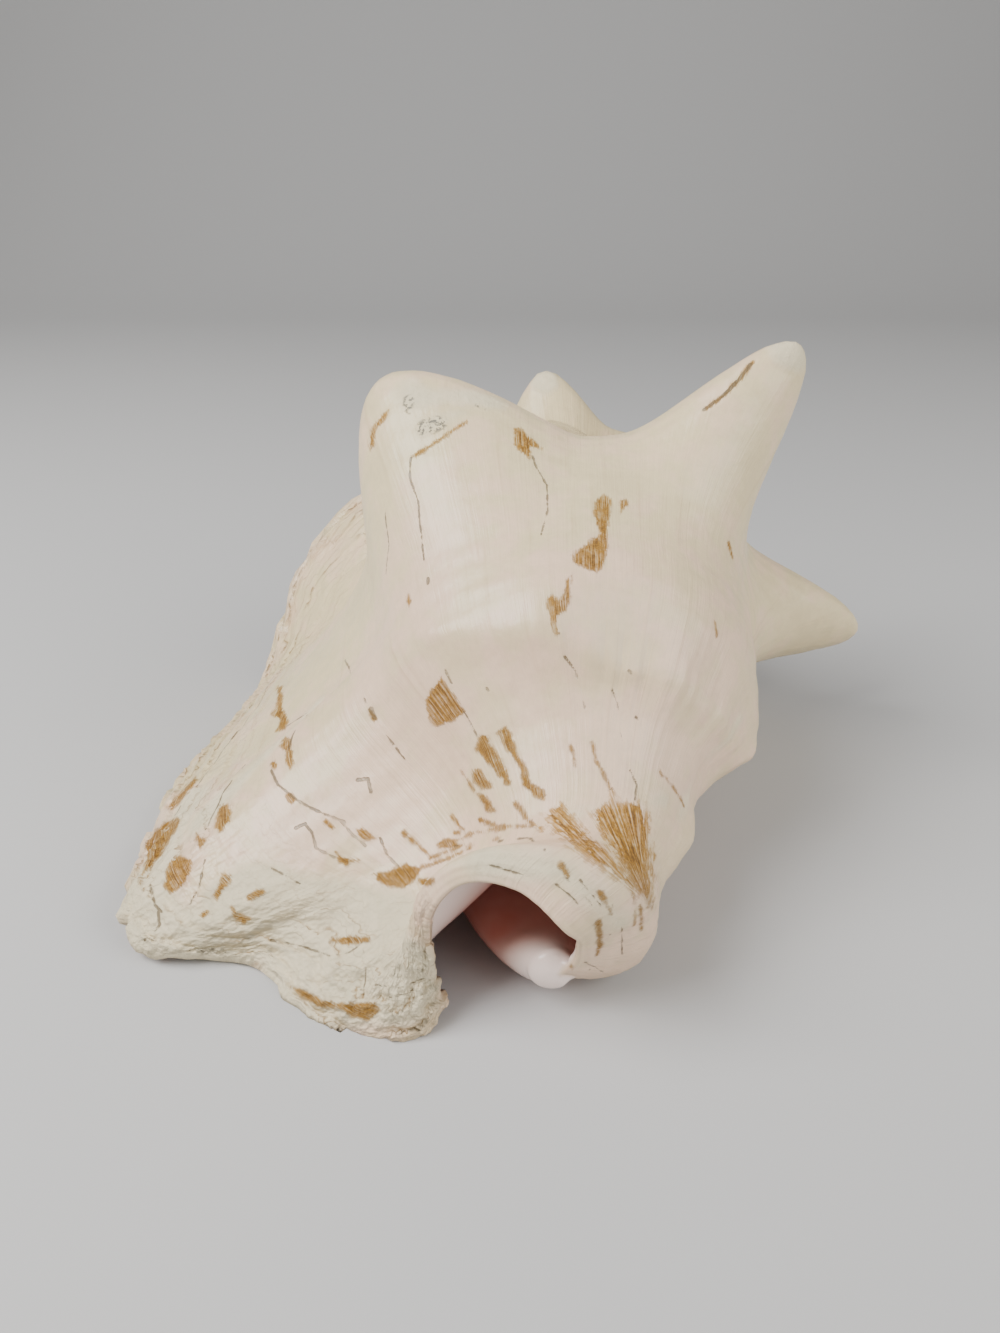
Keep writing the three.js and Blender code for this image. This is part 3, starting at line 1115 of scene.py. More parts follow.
def polygon_gap(places: np.ndarray, corners: np.ndarray) -> np.ndarray:
    """Distance from a polygon's edge.

    Args:
        places: Points in the polygon's plane.
        corners: Corners in order.

    Returns:
        Distances, negative inside.
    """
    after = np.roll(corners, -1, axis=0)
    run, away = after - corners, places[:, None] - corners
    share = np.clip((away * run).sum(2) / (run * run).sum(1), 0.0, 1.0)
    gap = np.linalg.norm(away - share[..., None] * run, axis=2).min(axis=1)
    crossed = (corners[:, 1] > places[:, 1:]) != (after[:, 1] > places[:, 1:])
    rise = np.where(run[:, 1] == 0, 1.0, run[:, 1])
    left = places[:, :1] < corners[:, 0] + away[..., 1] * run[:, 0] / rise
    return np.where((crossed & left).sum(axis=1) % 2 == 1, -gap, gap)


@dataclass(frozen=True)
class SeenMarks:
    """Flakes of brown skin, hairlines, worn places and pits, where the photo shows them."""

    fan: tuple = (
        ((592, 814), (604, 805), (616, 803), (629, 803), (642, 801), (649, 818), (649, 845), (651, 870),
         (652, 890), (650, 906), (643, 897), (632, 882), (620, 862), (607, 842)),
        ((546, 820), (552, 808), (562, 802), (570, 815), (580, 828), (592, 838), (606, 850), (622, 868),
         (642, 892), (622, 880), (604, 868), (588, 857), (572, 844), (558, 833)),
    )
    fan_root: tuple = (650, 906)
    patches: tuple = (
        ((441, 677), (466, 711), (452, 721), (437, 726), (429, 719), (426, 700), (430, 691)),
        ((480, 734), (487, 735), (489, 743), (497, 753), (503, 763), (510, 777), (512, 786), (505, 784),
         (495, 771), (486, 761), (476, 750)),
        ((497, 732), (506, 727), (511, 734), (515, 745), (518, 756), (526, 768), (531, 783), (544, 791),
         (544, 800), (533, 796), (522, 785), (521, 770), (514, 758), (505, 747)),
        ((472, 770), (480, 769), (488, 780), (493, 788), (482, 789), (473, 780)),
        ((477, 794), (483, 794), (490, 801), (495, 811), (486, 811), (481, 802)),
        ((437, 844), (445, 839), (454, 840), (459, 846), (445, 848)),
        ((372, 872), (385, 873), (397, 867), (407, 864), (421, 869), (415, 880), (405, 887), (387, 886),
         (377, 881)),
        ((417, 878), (435, 879), (432, 886), (420, 886)),
        ((335, 852), (342, 856), (360, 860), (347, 866), (339, 862)),
        ((356, 830), (362, 828), (376, 838), (365, 840), (359, 836)),
        ((277, 687), (282, 686), (282, 707), (289, 720), (285, 730), (276, 731), (280, 720), (271, 714),
         (277, 709)),
        ((285, 737), (291, 740), (294, 760), (290, 769), (286, 762), (286, 752), (280, 746)),
        ((220, 805), (227, 804), (231, 812), (230, 822), (220, 832), (215, 827), (217, 816)),
        ((145, 845), (155, 830), (167, 822), (177, 817), (181, 822), (172, 837), (162, 855), (150, 867),
         (142, 875), (147, 857)),
        ((170, 860), (182, 856), (192, 860), (190, 875), (182, 886), (170, 894), (164, 887), (166, 872)),
        ((222, 874), (231, 875), (230, 882), (217, 900), (214, 895), (220, 882)),
        ((231, 906), (237, 912), (252, 919), (242, 926), (234, 917)),
        ((291, 987), (305, 990), (322, 1000), (347, 1004), (377, 1002), (380, 1012), (367, 1021), (350, 1017),
         (342, 1010), (317, 1006), (302, 997)),
        ((330, 941), (347, 935), (370, 937), (370, 942), (347, 945)),
        ((195, 776), (197, 780), (182, 800), (172, 810), (167, 807)),
        ((196, 832), (201, 837), (206, 840), (200, 849), (196, 840)),
        ((514, 429), (519, 428), (530, 437), (542, 448), (531, 447), (530, 459), (521, 452), (515, 446)),
        ((596, 500), (604, 495), (611, 500), (611, 512), (608, 526), (607, 550), (604, 565), (597, 572),
         (587, 569), (574, 563), (572, 556), (580, 549), (592, 540), (601, 534), (596, 525), (594, 512)),
        ((620, 502), (626, 499), (629, 504), (621, 512)),
        ((547, 597), (552, 595), (559, 601), (564, 595), (565, 580), (571, 575), (571, 596), (567, 610),
         (559, 615), (556, 625), (560, 635), (554, 632), (550, 617), (547, 605)),
        ((369, 440), (371, 431), (382, 415), (389, 410), (384, 421), (376, 429), (374, 446), (370, 450)),
        ((412, 456), (419, 450), (431, 445), (430, 448), (421, 454), (415, 457)),
        ((406, 601), (409, 595), (412, 601), (409, 606)),
    )
    flakes: tuple = strokes(
        (1.5, 1.5, (430, 446), (448, 434), (470, 420)), (1.5, 1.5, (461, 770), (474, 790)),
        (2.5, 1, (515, 803), (528, 820), (543, 832)), (2, 1.5, (452, 817), (464, 830)),
        (3, 1, (480, 820), (505, 829)),
        (2, 1, (455, 833), (500, 829)), (2.5, 1, (404, 833), (430, 856)), (2, 2, (326, 822), (332, 828)),
        (3, 3, (289, 796), (292, 800)), (3, 3, (273, 763), (275, 766)), (3, 3, (250, 897), (262, 892)),
        (2.5, 2, (203, 915), (206, 912)), (2, 2, (332, 1025), (345, 1033)), (3, 2, (562, 866), (568, 876)),
        (3, 1.5, (600, 893), (612, 915)), (3, 2.5, (598, 922), (600, 945), (597, 955)),
        (1.5, 1.5, (632, 890), (634, 925)), (1.5, 1.5, (640, 905), (642, 930)),
        (3, 3, (572, 950), (570, 965)),
        (1, 1.5, (592, 742), (596, 760), (612, 790), (618, 840)), (1, 1, (571, 747), (575, 765)),
        (1, 1, (660, 772), (675, 790), (684, 806)), (1.5, 1.5, (655, 855), (652, 875)),
        (1.5, 1.5, (715, 623), (717, 635)), (3, 2.5, (729, 545), (732, 556)), (3, 3, (370, 712), (374, 718)),
        (1.5, 1, (440, 846), (470, 834), (505, 826), (540, 828)),
        (1.5, 1, (430, 858), (460, 846), (500, 838)),
        (1.2, 1, (420, 868), (445, 860), (470, 848)),
        (1.6, 2.2, (706, 409), (722, 397), (738, 381), (752, 363)),
    )
    cracks: tuple = strokes(
        (1, 0.6, (411, 458), (410, 478), (418, 500), (420, 525), (424, 560)),
        (1, 0.6, (533, 456), (537, 468), (547, 485), (548, 510), (541, 535)),
        (0.6, 0.6, (385, 512), (389, 545), (386, 575)),
        (0.8, 0.8, (345, 660), (365, 700), (390, 740), (405, 760)),
        (1.2, 0.7, (565, 657), (576, 672), (585, 708)), (0.8, 0.6, (612, 690), (618, 705), (622, 740)),
        (0.8, 0.8, (630, 770), (637, 785), (635, 800)), (1, 1, (445, 670), (452, 684)),
        (0.9, 0.9, (464, 712), (478, 738)),
        (1.2, 1.2, (455, 846), (500, 841), (530, 838), (545, 850)), (0.8, 0.8, (490, 865), (522, 875)),
        (0.8, 0.8, (566, 878), (592, 905)),
        (1, 1, (271, 770), (278, 785), (300, 802), (320, 812), (345, 822)),
        (1.4, 1, (296, 828), (305, 824), (312, 832), (316, 848), (335, 858)),
        (0.8, 0.8, (272, 868), (300, 884)),
        (1, 1, (380, 838), (388, 856), (398, 866)), (1, 1, (340, 820), (352, 834), (366, 846)),
        (0.8, 0.8, (270, 940), (300, 946), (330, 956), (350, 952), (362, 943)),
        (0.8, 0.8, (363, 948), (366, 970), (364, 995)), (0.8, 0.8, (375, 985), (400, 988), (425, 978)),
        (0.9, 0.9, (375, 1002), (410, 992), (430, 980)), (0.9, 0.9, (310, 1020), (345, 1034), (390, 1038)),
        (1.4, 0.8, (289, 748), (293, 735), (307, 715)), (1, 0.6, (287, 726), (307, 713)),
        (1.6, 1.6, (358, 780), (368, 779), (371, 792)), (1.2, 1.2, (150, 885), (155, 905), (162, 912)),
        (1.6, 1.6, (629, 671), (631, 673)), (1.4, 1.4, (487, 689), (489, 691)),
        (2, 2, (428, 579), (428, 583)),
        (3, 2.5, (371, 710), (375, 718)), (1.2, 1.2, (636, 717), (638, 719)),
        (0.7, 0.7, (148, 938), (190, 950)),
        (1.4, 1.8, (704, 410), (722, 397), (738, 381), (751, 364)),
        (1, 1, (145, 940), (160, 925), (158, 912)),
        (0.8, 0.6, (556, 884), (575, 900), (588, 925)), (0.8, 0.6, (580, 880), (600, 905), (610, 935)),
        (0.7, 0.6, (612, 905), (622, 930), (622, 955)), (0.7, 0.6, (585, 962), (603, 972)),
        (0.7, 0.6, (575, 955), (590, 970)), (0.9, 0.9, (262, 700), (235, 735), (205, 775), (175, 815)),
        (0.9, 0.9, (245, 765), (225, 790), (205, 830)), (0.8, 0.8, (205, 860), (200, 885), (190, 905)),
    )
    worn: tuple = strokes(
        (20, 20, (415, 398), (495, 402)), (16, 12, (425, 428), (462, 412)), (14, 10, (788, 350), (800, 360)),
        (12, 10, (545, 378), (546, 384)), (24, 24, (480, 858), (560, 872), (622, 925)),
        (40, 40, (300, 975), (395, 975)),
        (40, 40, (250, 905), (380, 925)), (25, 25, (140, 900), (160, 940), (225, 945)),
        (14, 14, (560, 820), (665, 800)),
        (12, 12, (740, 720), (680, 815)), (16, 16, (190, 800), (150, 880)), (12, 12, (320, 700), (200, 820)),
    )
    pits: tuple = strokes(
        (10, 9, (426, 427), (438, 424)), (6, 4, (408, 400), (409, 410)), (3, 3, (478, 405), (484, 410)),
    )


@dataclass
class MarkPlacer:
    """Carries marks from the photo's view onto the shell."""

    camera: PhotoCamera
    tree: BVHTree
    seen: SeenMarks
    reach: float = 12.0
    patch_reach: float = 4.0
    hidden_by: float = 2.0
    longest: float = 60.0
    comb_share: float = 0.2
    fan_softness: float = 0.45
    extra_count: int = 34
    extra_size: tuple = (0.5, 1.9)
    extra_length: float = 7.0
    extra_share: tuple = (0.2, 1.0)
    extra_seed: int = 11

    def __post_init__(self) -> None:
        """Finds the strokes on the surface."""
        seen = self.seen
        kinds = {
            Mark.FLAKE: seen.flakes, Mark.CRACK: seen.cracks, Mark.WEAR: seen.worn, Mark.PIT: seen.pits,
        }
        self.lines = {name: self.find(marks) for name, marks in kinds.items()}

    def scatter(self, points: np.ndarray, normals: np.ndarray, bare: np.ndarray) -> None:
        """Adds flakes on the sides that the photo doesn't show.

        Args:
            points: Points on the surface.
            normals: Their outward directions.
            bare: Which of them are outside the mouth.
        """
        draw = np.random.default_rng(self.extra_seed)
        away = np.sum(normals * (np.array(self.camera.place) - points), axis=1) < 0
        choice = np.nonzero(away & bare & (points[:, 2] > self.extra_length))[0]
        for index in draw.choice(choice, self.extra_count, replace=False):
            run = np.cross(normals[index], draw.normal(size=3))
            run *= draw.uniform(*self.extra_share) * self.extra_length / np.linalg.norm(run)
            half = draw.uniform(*self.extra_size)
            self.lines[Mark.FLAKE].append(((points[index], half), (points[index] + run, half / 2)))

    def find(self, marks: tuple) -> list:
        """Finds where strokes lie on the surface.

        Args:
            marks: Strokes in the picture.

        Returns:
            Pairs of points with their half widths, in millimetres.
        """
        found = []
        origin = Vector(self.camera.place)
        for mark in marks:
            hits = []
            total = max(1, len(mark.pixels) - 1)
            for number, pixel in enumerate(mark.pixels):
                place, _, _, distance = self.tree.ray_cast(origin, self.camera.ray(pixel))
                if place is not None:
                    half = mark.start + (mark.end - mark.start) * number / total
                    hits.append((np.array(place), half * distance / self.camera.focal))
            found += [(a, b) for a, b in zip(hits, hits[1:]) if np.linalg.norm(a[0] - b[0]) < self.longest]
        return found

    def stroke_gap(self, points: np.ndarray, name: Mark) -> np.ndarray:
        """Distance of points from the edge of the nearest stroke.

        Args:
            points: Points on the surface.
            name: Kind of stroke.

        Returns:
            Distances, negative inside a stroke.
        """
        nearest = np.full(len(points), self.reach)
        for (start, half), (end, last) in self.lines[name]:
            margin = self.reach + max(half, last)
            low, high = np.minimum(start, end) - margin, np.maximum(start, end) + margin
            close = np.nonzero(np.all((points > low) & (points < high), axis=1))[0]
            chosen, run = points[close] - start, end - start
            share = np.clip(chosen @ run / max(run @ run, 1e-9), 0.0, 1.0)
            gap = np.linalg.norm(chosen - share[:, None] * run, axis=1)
            nearest[close] = np.minimum(nearest[close], gap - half - (last - half) * share)
        return nearest

    def patch_gap(self, points: np.ndarray, normals: np.ndarray, patches: tuple) -> np.ndarray:
        """Distance of points from the edge of the nearest patch, as the camera sees them.

        Args:
            points: Points on the surface.
            normals: Their outward directions.
            patches: Outlines in the picture.

        Returns:
            Distances, negative inside a patch.
        """
        origin = np.array(self.camera.place)
        nearest = np.full(len(points), self.patch_reach)
        places, depth = self.camera.project(points)
        scale = depth / self.camera.focal
        facing = np.sum(normals * (origin - points), axis=1) > 0
        for corners in patches:
            ring = np.array(corners, float)
            margin = self.patch_reach / scale[:, None]
            inside = np.all((places > ring.min(0) - margin) & (places < ring.max(0) + margin), axis=1)
            close = np.nonzero(facing & inside)[0]
            nearest[close] = np.minimum(nearest[close], polygon_gap(places[close], ring) * scale[close])
        for index in np.nonzero(nearest < self.patch_reach)[0]:
            sight = Vector(points[index] - origin)
            distance = self.tree.ray_cast(Vector(origin), sight.normalized())[3]
            if distance is not None and distance < sight.length - self.hidden_by:
                nearest[index] = self.patch_reach
        return nearest

    def flakes(self, points: np.ndarray, normals: np.ndarray) -> np.ndarray:
        """Distance of points from the edge of the nearest flake of skin.

        Args:
            points: Points on the surface.
            normals: Their outward directions.

        Returns:
            Distances, negative inside a flake.
        """
        patches = self.patch_gap(points, normals, self.seen.patches)
        fan = self.patch_gap(points, normals, self.seen.fan) * self.fan_softness
        return np.minimum(np.minimum(self.stroke_gap(points, Mark.FLAKE), patches), fan)

    def comb(self, points: np.ndarray, normals: np.ndarray, turn: np.ndarray) -> np.ndarray:
        """Number that stays the same along the fibres of the skin.

        Args:
            points: Points on the surface.
            normals: Their outward directions.
            turn: Their angles on the coil.

        Returns:
            The angle on the coil, or in the fan the angle about its root.
        """
        places, _ = self.camera.project(points)
        away = np.array(self.seen.fan_root) - places
        spread = np.degrees(np.arctan2(away[:, 1], away[:, 0])) * self.comb_share
        inside = self.patch_gap(points, normals, self.seen.fan) < self.patch_reach
        return np.where(inside, spread, turn)


@dataclass
class Relief:
    """Raised growth folds, fine spiral cords, the second ridge, stepped ledges and worn places."""

    fold_height: float = 0.45
    fold_fineness: float = 0.11
    fold_along: float = 3.0
    fold_noise: Noise = Noise(1.0, 3.0)
    fold_near_lip: float = 2.0
    cord_height: float = 0.12
    cord_count: float = 34.0
    keel_height: float = 2.2
    keel_width: float = 0.036
    keel_place: float = 0.632
    keel_bow: float = -0.065
    keel_turn: float = 50.0
    keel_span: float = 84.0
    keel_sharpness: float = 1.5
    keel_start: tuple = (-40.0, 0.0)
    keel_end: tuple = (152.0, 130.0)
    keel_noise: Noise = Noise(1.6, 2.0)
    keel_breaks: tuple = (0.3, 0.6, 0.45, 1.0)
    ledge_height: float = 2.6
    ledge_spacing: float = 10.0
    ledge_reach: float = 60.0
    ledge_fade: float = 1.6
    ripple_turn: float = 0.03
    ripple_along: float = 14.0
    ripple_noise: Noise = Noise(1.0, 4.0, 0.6)
    ripple_height: float = 3.4
    wear_height: float = 0.55
    wear_gain: float = 2.4
    wear_noise: Noise = Noise(0.16, 4.0, 0.65)
    worn_tip: tuple = (0.4, 1.0)
    worn_edge: tuple = (16.0, 2.0, 0.0, 3.0)
    worn_end: tuple = (0.76, 0.66, 0.3, 1.0)
    seed: float = 7.0

    def phase(
        self, nodes: Nodes, turn: Socket, along: Socket, lip: Socket, spacing: Value, seed: Value
    ) -> Socket:
        """Counts the ledges, whole numbers being their steps.

        Args:
            nodes: Tree that gets the nodes.
            turn: Angle on the coil.
            along: Place on the outline.
            lip: Distance from the lip.
            spacing: Distance between ledges.
            seed: Place in the noise.

        Returns:
            The count.
        """
        ripple = nodes.vector(
            nodes.math("MULTIPLY", turn, self.ripple_turn),
            nodes.math("MULTIPLY", along, self.ripple_along), seed,
        )
        waves = nodes.math("MULTIPLY", nodes.noise(ripple, self.ripple_noise), self.ripple_height)
        return nodes.math("ADD", nodes.math("DIVIDE", lip, spacing), waves)

    def build(self) -> TreeModifier:
        """Builds the tree that raises the relief.

        Returns:
            The tree.
        """
        tree = TreeModifier("growth relief", {
            "Fold height": self.fold_height, "Fold fineness": self.fold_fineness,
            "Cord height": self.cord_height, "Cord count": self.cord_count,
            "Keel height": self.keel_height, "Keel width": self.keel_width,
            "Ledge height": self.ledge_height, "Ledge spacing": self.ledge_spacing,
            "Ledge reach": self.ledge_reach, "Wear height": self.wear_height, "Seed": self.seed,
        })
        nodes = tree.nodes
        turn, along, lip = tree.mark("turn"), tree.mark("along"), tree.mark("lip")
        outside = nodes.math("SUBTRACT", 1.0, tree.mark("inside"), clamp=True)
        near = nodes.math("SUBTRACT", 1.0, nodes.math("DIVIDE", lip, tree.given("Ledge reach")), clamp=True)
        grain = nodes.vector(
            nodes.math("MULTIPLY", turn, tree.given("Fold fineness")),
            nodes.math("MULTIPLY", along, self.fold_along), tree.given("Seed"),
        )
        folds = nodes.math("SUBTRACT", nodes.noise(grain, self.fold_noise), 0.5)
        stronger = nodes.math("MULTIPLY_ADD", near, self.fold_near_lip, 1.0)
        folds = nodes.product(folds, stronger, tree.given("Fold height"))
        cords = nodes.math("SINE", nodes.product(along, tree.given("Cord count"), 2 * math.pi))
        cords = nodes.math("MULTIPLY", cords, tree.given("Cord height"))
        phase = self.phase(nodes, turn, along, lip, tree.given("Ledge spacing"), tree.given("Seed"))
        fade = nodes.math("POWER", near, self.ledge_fade)
        ledges = nodes.product(nodes.math("FRACT", phase), fade, tree.given("Ledge height"))
        worn = self.wear(tree, along, lip)
        height = nodes.math("ADD", nodes.math("ADD", folds, cords), nodes.math("ADD", ledges, worn))
        height = nodes.math("ADD", height, self.keel(tree, turn, along, grain))
        scale = nodes.add("ShaderNodeVectorMath", operation="SCALE")
        nodes.feed(scale.inputs[0], nodes.add("GeometryNodeInputNormal").outputs[0])
        nodes.feed(scale.inputs["Scale"], nodes.math("MULTIPLY", height, outside))
        tree.close(Offset=scale.outputs[0])
        return tree

    def keel(self, tree: TreeModifier, turn: Socket, along: Socket, grain: Socket) -> Socket:
        """Raises the second ridge along a bowed line.

        Args:
            tree: Tree that gets the nodes.
            turn: Angle on the coil.
            along: Place on the outline.
            grain: Coordinates of the folds.

        Returns:
            The height.
        """
        nodes = tree.nodes
        bow = nodes.math("DIVIDE", nodes.math("SUBTRACT", turn, self.keel_turn), self.keel_span)
        crest = nodes.math("MULTIPLY_ADD", nodes.math("POWER", bow, 2.0), self.keel_bow, self.keel_place)
        away = nodes.math("ABSOLUTE", nodes.math("SUBTRACT", along, crest))
        away = nodes.math("DIVIDE", away, tree.given("Keel width"))
        ridge = nodes.math("POWER", nodes.math("SUBTRACT", 1.0, away, clamp=True), self.keel_sharpness)
        breaks = nodes.ramp(nodes.noise(grain, self.keel_noise), *self.keel_breaks)
        ends = nodes.ramp(turn, *self.keel_end), nodes.ramp(turn, *self.keel_start)
        return nodes.product(ridge, *ends, breaks, tree.given("Keel height"))

    def wear(self, tree: TreeModifier, along: Socket, lip: Socket) -> Socket:
        """Roughens the spines' tips and the end of the lip.

        Args:
            tree: Tree that gets the nodes.
            along: Place on the outline.
            lip: Distance from the lip.

        Returns:
            The height.
        """
        nodes = tree.nodes
        place = nodes.add("GeometryNodeInputPosition").outputs[0]
        rough = nodes.math("SUBTRACT", nodes.noise(place, self.wear_noise), 0.5)
        edge = nodes.product(nodes.ramp(lip, *self.worn_edge), nodes.ramp(along, *self.worn_end))
        share = nodes.math("MAXIMUM", nodes.ramp(tree.mark("tip"), *self.worn_tip), edge)
        return nodes.product(rough, share, self.wear_gain, tree.given("Wear height"))


@dataclass(frozen=True)
class Grain:
    """Noise drawn out along lines: its fineness across and along them, its place and its octaves."""

    across: float
    along: float
    place: float
    detail: float
    rough: float = 0.5
    lines: Mark = Mark.TURN


class Surface:
    """Numbers and noises that the shell's finish reads."""

    SOFT = Noise(38.0, 3.0)
    WAVE = Noise(120.0, 2.0)
    FINE = Noise(420.0, 3.0, 0.6)
    SPECK = Noise(1500.0, 2.0, 0.6)
    STREAK = Grain(0.35, 4.0, 1.0, 4.0, 0.6)
    THREAD = Grain(2.2, 5.0, 2.0, 2.0)
    FIBRE = Grain(3.0, 14.0, 3.0, 3.0, 0.7, Mark.COMB)
    LAYERS = 2.7
    LIP_FULL = 15.0
    BARE = (0.1, 0.5)

    def __init__(self, nodes: Nodes) -> None:
        """Adds the nodes.

        Args:
            nodes: Tree that gets them.
        """
        self.nodes = nodes
        self.place = nodes.add("ShaderNodeTexCoord").outputs["Object"]
        self.marks = {
            name: nodes.add("ShaderNodeAttribute", attribute_name=name.value).outputs["Fac"] for name in Mark
        }
        self.soft, self.wave, self.fine, self.speck = (
            nodes.noise(self.place, noise) for noise in (self.SOFT, self.WAVE, self.FINE, self.SPECK)
        )
        self.streak, self.thread, self.fibre = (
            self.grain(grain) for grain in (self.STREAK, self.THREAD, self.FIBRE)
        )
        relief = Relief()
        places = (self.marks[name] for name in (Mark.TURN, Mark.ALONG, Mark.LIP))
        phase = relief.phase(nodes, *places, relief.ledge_spacing, relief.seed)
        self.step = nodes.math("FRACT", phase)
        self.layer = nodes.math("FRACT", nodes.math("MULTIPLY", phase, self.LAYERS))
        self.lip = nodes.ramp(self.marks[Mark.LIP], relief.ledge_reach, self.LIP_FULL)
        self.bare = nodes.math("SUBTRACT", 1.0, nodes.ramp(self.marks[Mark.INSIDE], *self.BARE))

    def grain(self, grain: Grain) -> Socket:
        """Adds a noise drawn out along lines.

        Args:
            grain: Its numbers.

        Returns:
            The noise, about 0 to 1.
        """
        nodes = self.nodes
        across = nodes.math("MULTIPLY", self.marks[grain.lines], grain.across)
        along = nodes.math("MULTIPLY", self.marks[Mark.ALONG], grain.along)
        return nodes.noise(nodes.vector(across, along, grain.place), Noise(1.0, grain.detail, grain.rough))


@dataclass(frozen=True)
class ShellFinish:
    """Cream and pink shell, chalky where worn, glossy pink inside with painted shade further in, with flakes
    of brown skin and painted shadow lines under the lip's ledges.

    A range is the start and end of what is mapped, then the results there where they aren't 0 and 1.
    """

    cream: tuple = (0.80, 0.66, 0.39)
    pink: tuple = (0.82, 0.595, 0.42)
    chalk: tuple = (0.73, 0.64, 0.44)
    tan: tuple = (0.46, 0.30, 0.14)
    # Dark brown painted at the foot of each lip ledge: painted shadow under the ledges.
    ledge_shadow: tuple = (0.30, 0.18, 0.065)
    # The dark red further into the canal is partly the lining's own pink and partly painted shade. The pale
    # colour at the knob is partly a painted highlight.
    inner_pink_shaded: tuple = (0.62, 0.22, 0.17)
    inner_pale_lit: tuple = (0.93, 0.76, 0.68)
    gold: tuple = (0.40, 0.19, 0.006)
    brown: tuple = (0.12, 0.046, 0.002)
    line: tuple = (0.16, 0.11, 0.05)
    grey: tuple = (0.10, 0.10, 0.095)
    lined: tuple = (0.25, 0.9)
    glossy: tuple = (0.3, 0.9)
    inner_rough: float = 0.2
    skin_rough: float = 0.72
    rough_range: tuple = (0.0, 0.9, 0.26, 0.67)
    rough_grain: float = 0.16
    bump_strength: float = 0.8
    bump_distance: float = 0.001
    index: float = 1.5
    streak_height: float = 0.5
    thread_height: float = 0.12
    worn_height: float = 0.7
    speck_height: float = 0.05
    wave_height: float = 0.6
    step_height: float = 1.3
    layer_height: float = 0.8
    pore_height: float = 1.2
    pore_edge: tuple = (14.0, 2.0)
    pore_end: tuple = (0.76, 0.66, 0.3, 1.0)
    fibre_height: float = 0.7
    fibre_base: float = -0.1
    hollow: float = -0.6
    chalk_noise: Noise = Noise(60.0, 4.0, 0.65)
    chalk_share: float = 1.2
    chalk_wear: float = -0.12
    chalk_base: float = -0.6
    chalk_lip: tuple = (15.0, 75.0, 0.7, 0.0)
    chalk_tip: tuple = (0.7, 1.0, 0.0, 0.8)
    chalk_range: tuple = (0.0, 0.75, 0.0, 0.9)
    pink_mix: tuple = (0.6, 0.4)
    pink_range: tuple = (0.38, 0.62)
    pink_along: tuple = (0.35, 0.6, -0.3, 0.35)
    streak_range: tuple = (0.54, 0.78, 0.0, 0.3)
    thread_range: tuple = (0.62, 0.8, 0.0, 0.1)
    shade_mix: tuple = (0.4, 0.3, 0.3)
    shade_range: tuple = (0.35, 0.65, 0.91, 1.04)
    step_range: tuple = (0.12, 0.0)
    layer_range: tuple = (0.16, 0.0, 0.0, 0.55)
    edge_breaks: tuple = (0.35, 0.55)
    # Noise, range and strength of the painted shadow lines under the lip's ledges.
    ledge_shadow_noise: Noise = Noise(60.0, 2.0)
    ledge_shadow_range: tuple = (0.4, 0.6)
    ledge_shadow_strength: float = 0.95
    # Depths over which the lining turns from the pale knob, partly a painted highlight, to the painted shade
    # further in.
    lining_shade_depth: tuple = (-0.1, -0.084)
    lining_range: tuple = (0.3, 0.7, 1.0, 0.75)
    torn_noise: Noise = Noise(330.0, 3.0, 0.65)
    torn_reach: float = 3.2
    fibre_reach: float = 4.0
    skin_base: float = -3.6
    skin_edge: tuple = (0.45, -0.35)
    thin_mix: tuple = (0.7, 0.3)
    thin_range: tuple = (0.34, 0.52, 0.25, 0.97)
    weave_mix: tuple = (0.6, 0.2, 0.2)
    weave_range: tuple = (0.6, 0.46)
    gold_edge: tuple = (-0.5, 0.1)
    split_base: float = -0.58
    split_range: tuple = (0.1, -0.2)
    split_breaks: tuple = (0.3, 0.55, 0.45, 0.85)
    pit_noise: Noise = Noise(700.0, 3.0, 0.6)
    pit_speckle: tuple = (0.5, 0.6)
    pit_range: tuple = (0.8, -0.8, 0.0, 0.8)

    def make(self) -> bpy.types.Material:
        """Builds the material.

        Returns:
            The material.
        """
        material = bpy.data.materials.new("shell")
        material.use_nodes = True
        material.node_tree.nodes.clear()
        nodes = Nodes(material.node_tree)
        surface = Surface(nodes)
        inside = surface.marks[Mark.INSIDE]
        chalky, ledge_shadow_share = self.chalkiness(surface), self.ledges(surface)
        cover, skin = self.skin(surface)
        split, pit = self.damage(surface)
        colour = self.body(surface, chalky)
        # Painted shadow lines at the foot of the lip's ledges.
        colour = nodes.blend(ledge_shadow_share, colour, self.ledge_shadow)
        # Inside colour, with painted shade further in and a painted highlight at the knob.
        colour = nodes.blend(nodes.ramp(inside, *self.lined), colour, self.lining_and_painted_light(surface))
        colour = nodes.blend(cover, colour, skin)
        colour = nodes.blend(split, colour, self.line)
        colour = nodes.blend(pit, colour, self.grey)
        worn = nodes.ramp(chalky, *self.rough_range)
        rough = nodes.math("MULTIPLY_ADD", surface.fine, self.rough_grain, worn)
        rough = nodes.swap(nodes.ramp(inside, *self.glossy), rough, self.inner_rough)
        rough = nodes.swap(cover, rough, self.skin_rough)
        height = self.bumps(surface, chalky)
        fibres = nodes.math("MULTIPLY_ADD", surface.fibre, self.fibre_height, self.fibre_base)
        fibres = nodes.math("MULTIPLY", cover, fibres)
        height = nodes.total((height, 1.0), (fibres, 1.0), (split, self.hollow), (pit, self.hollow))
        bump = nodes.add("ShaderNodeBump", {"Height": height})
        bump.inputs["Strength"].default_value = self.bump_strength
        bump.inputs["Distance"].default_value = self.bump_distance
        shader = nodes.add("ShaderNodeBsdfPrincipled", {"Base Color": colour, "Roughness": rough})
        shader.inputs["IOR"].default_value = self.index
        nodes.feed(shader.inputs["Normal"], bump.outputs[0])
        nodes.add("ShaderNodeOutputMaterial", {"Surface": shader.outputs[0]})
        return material

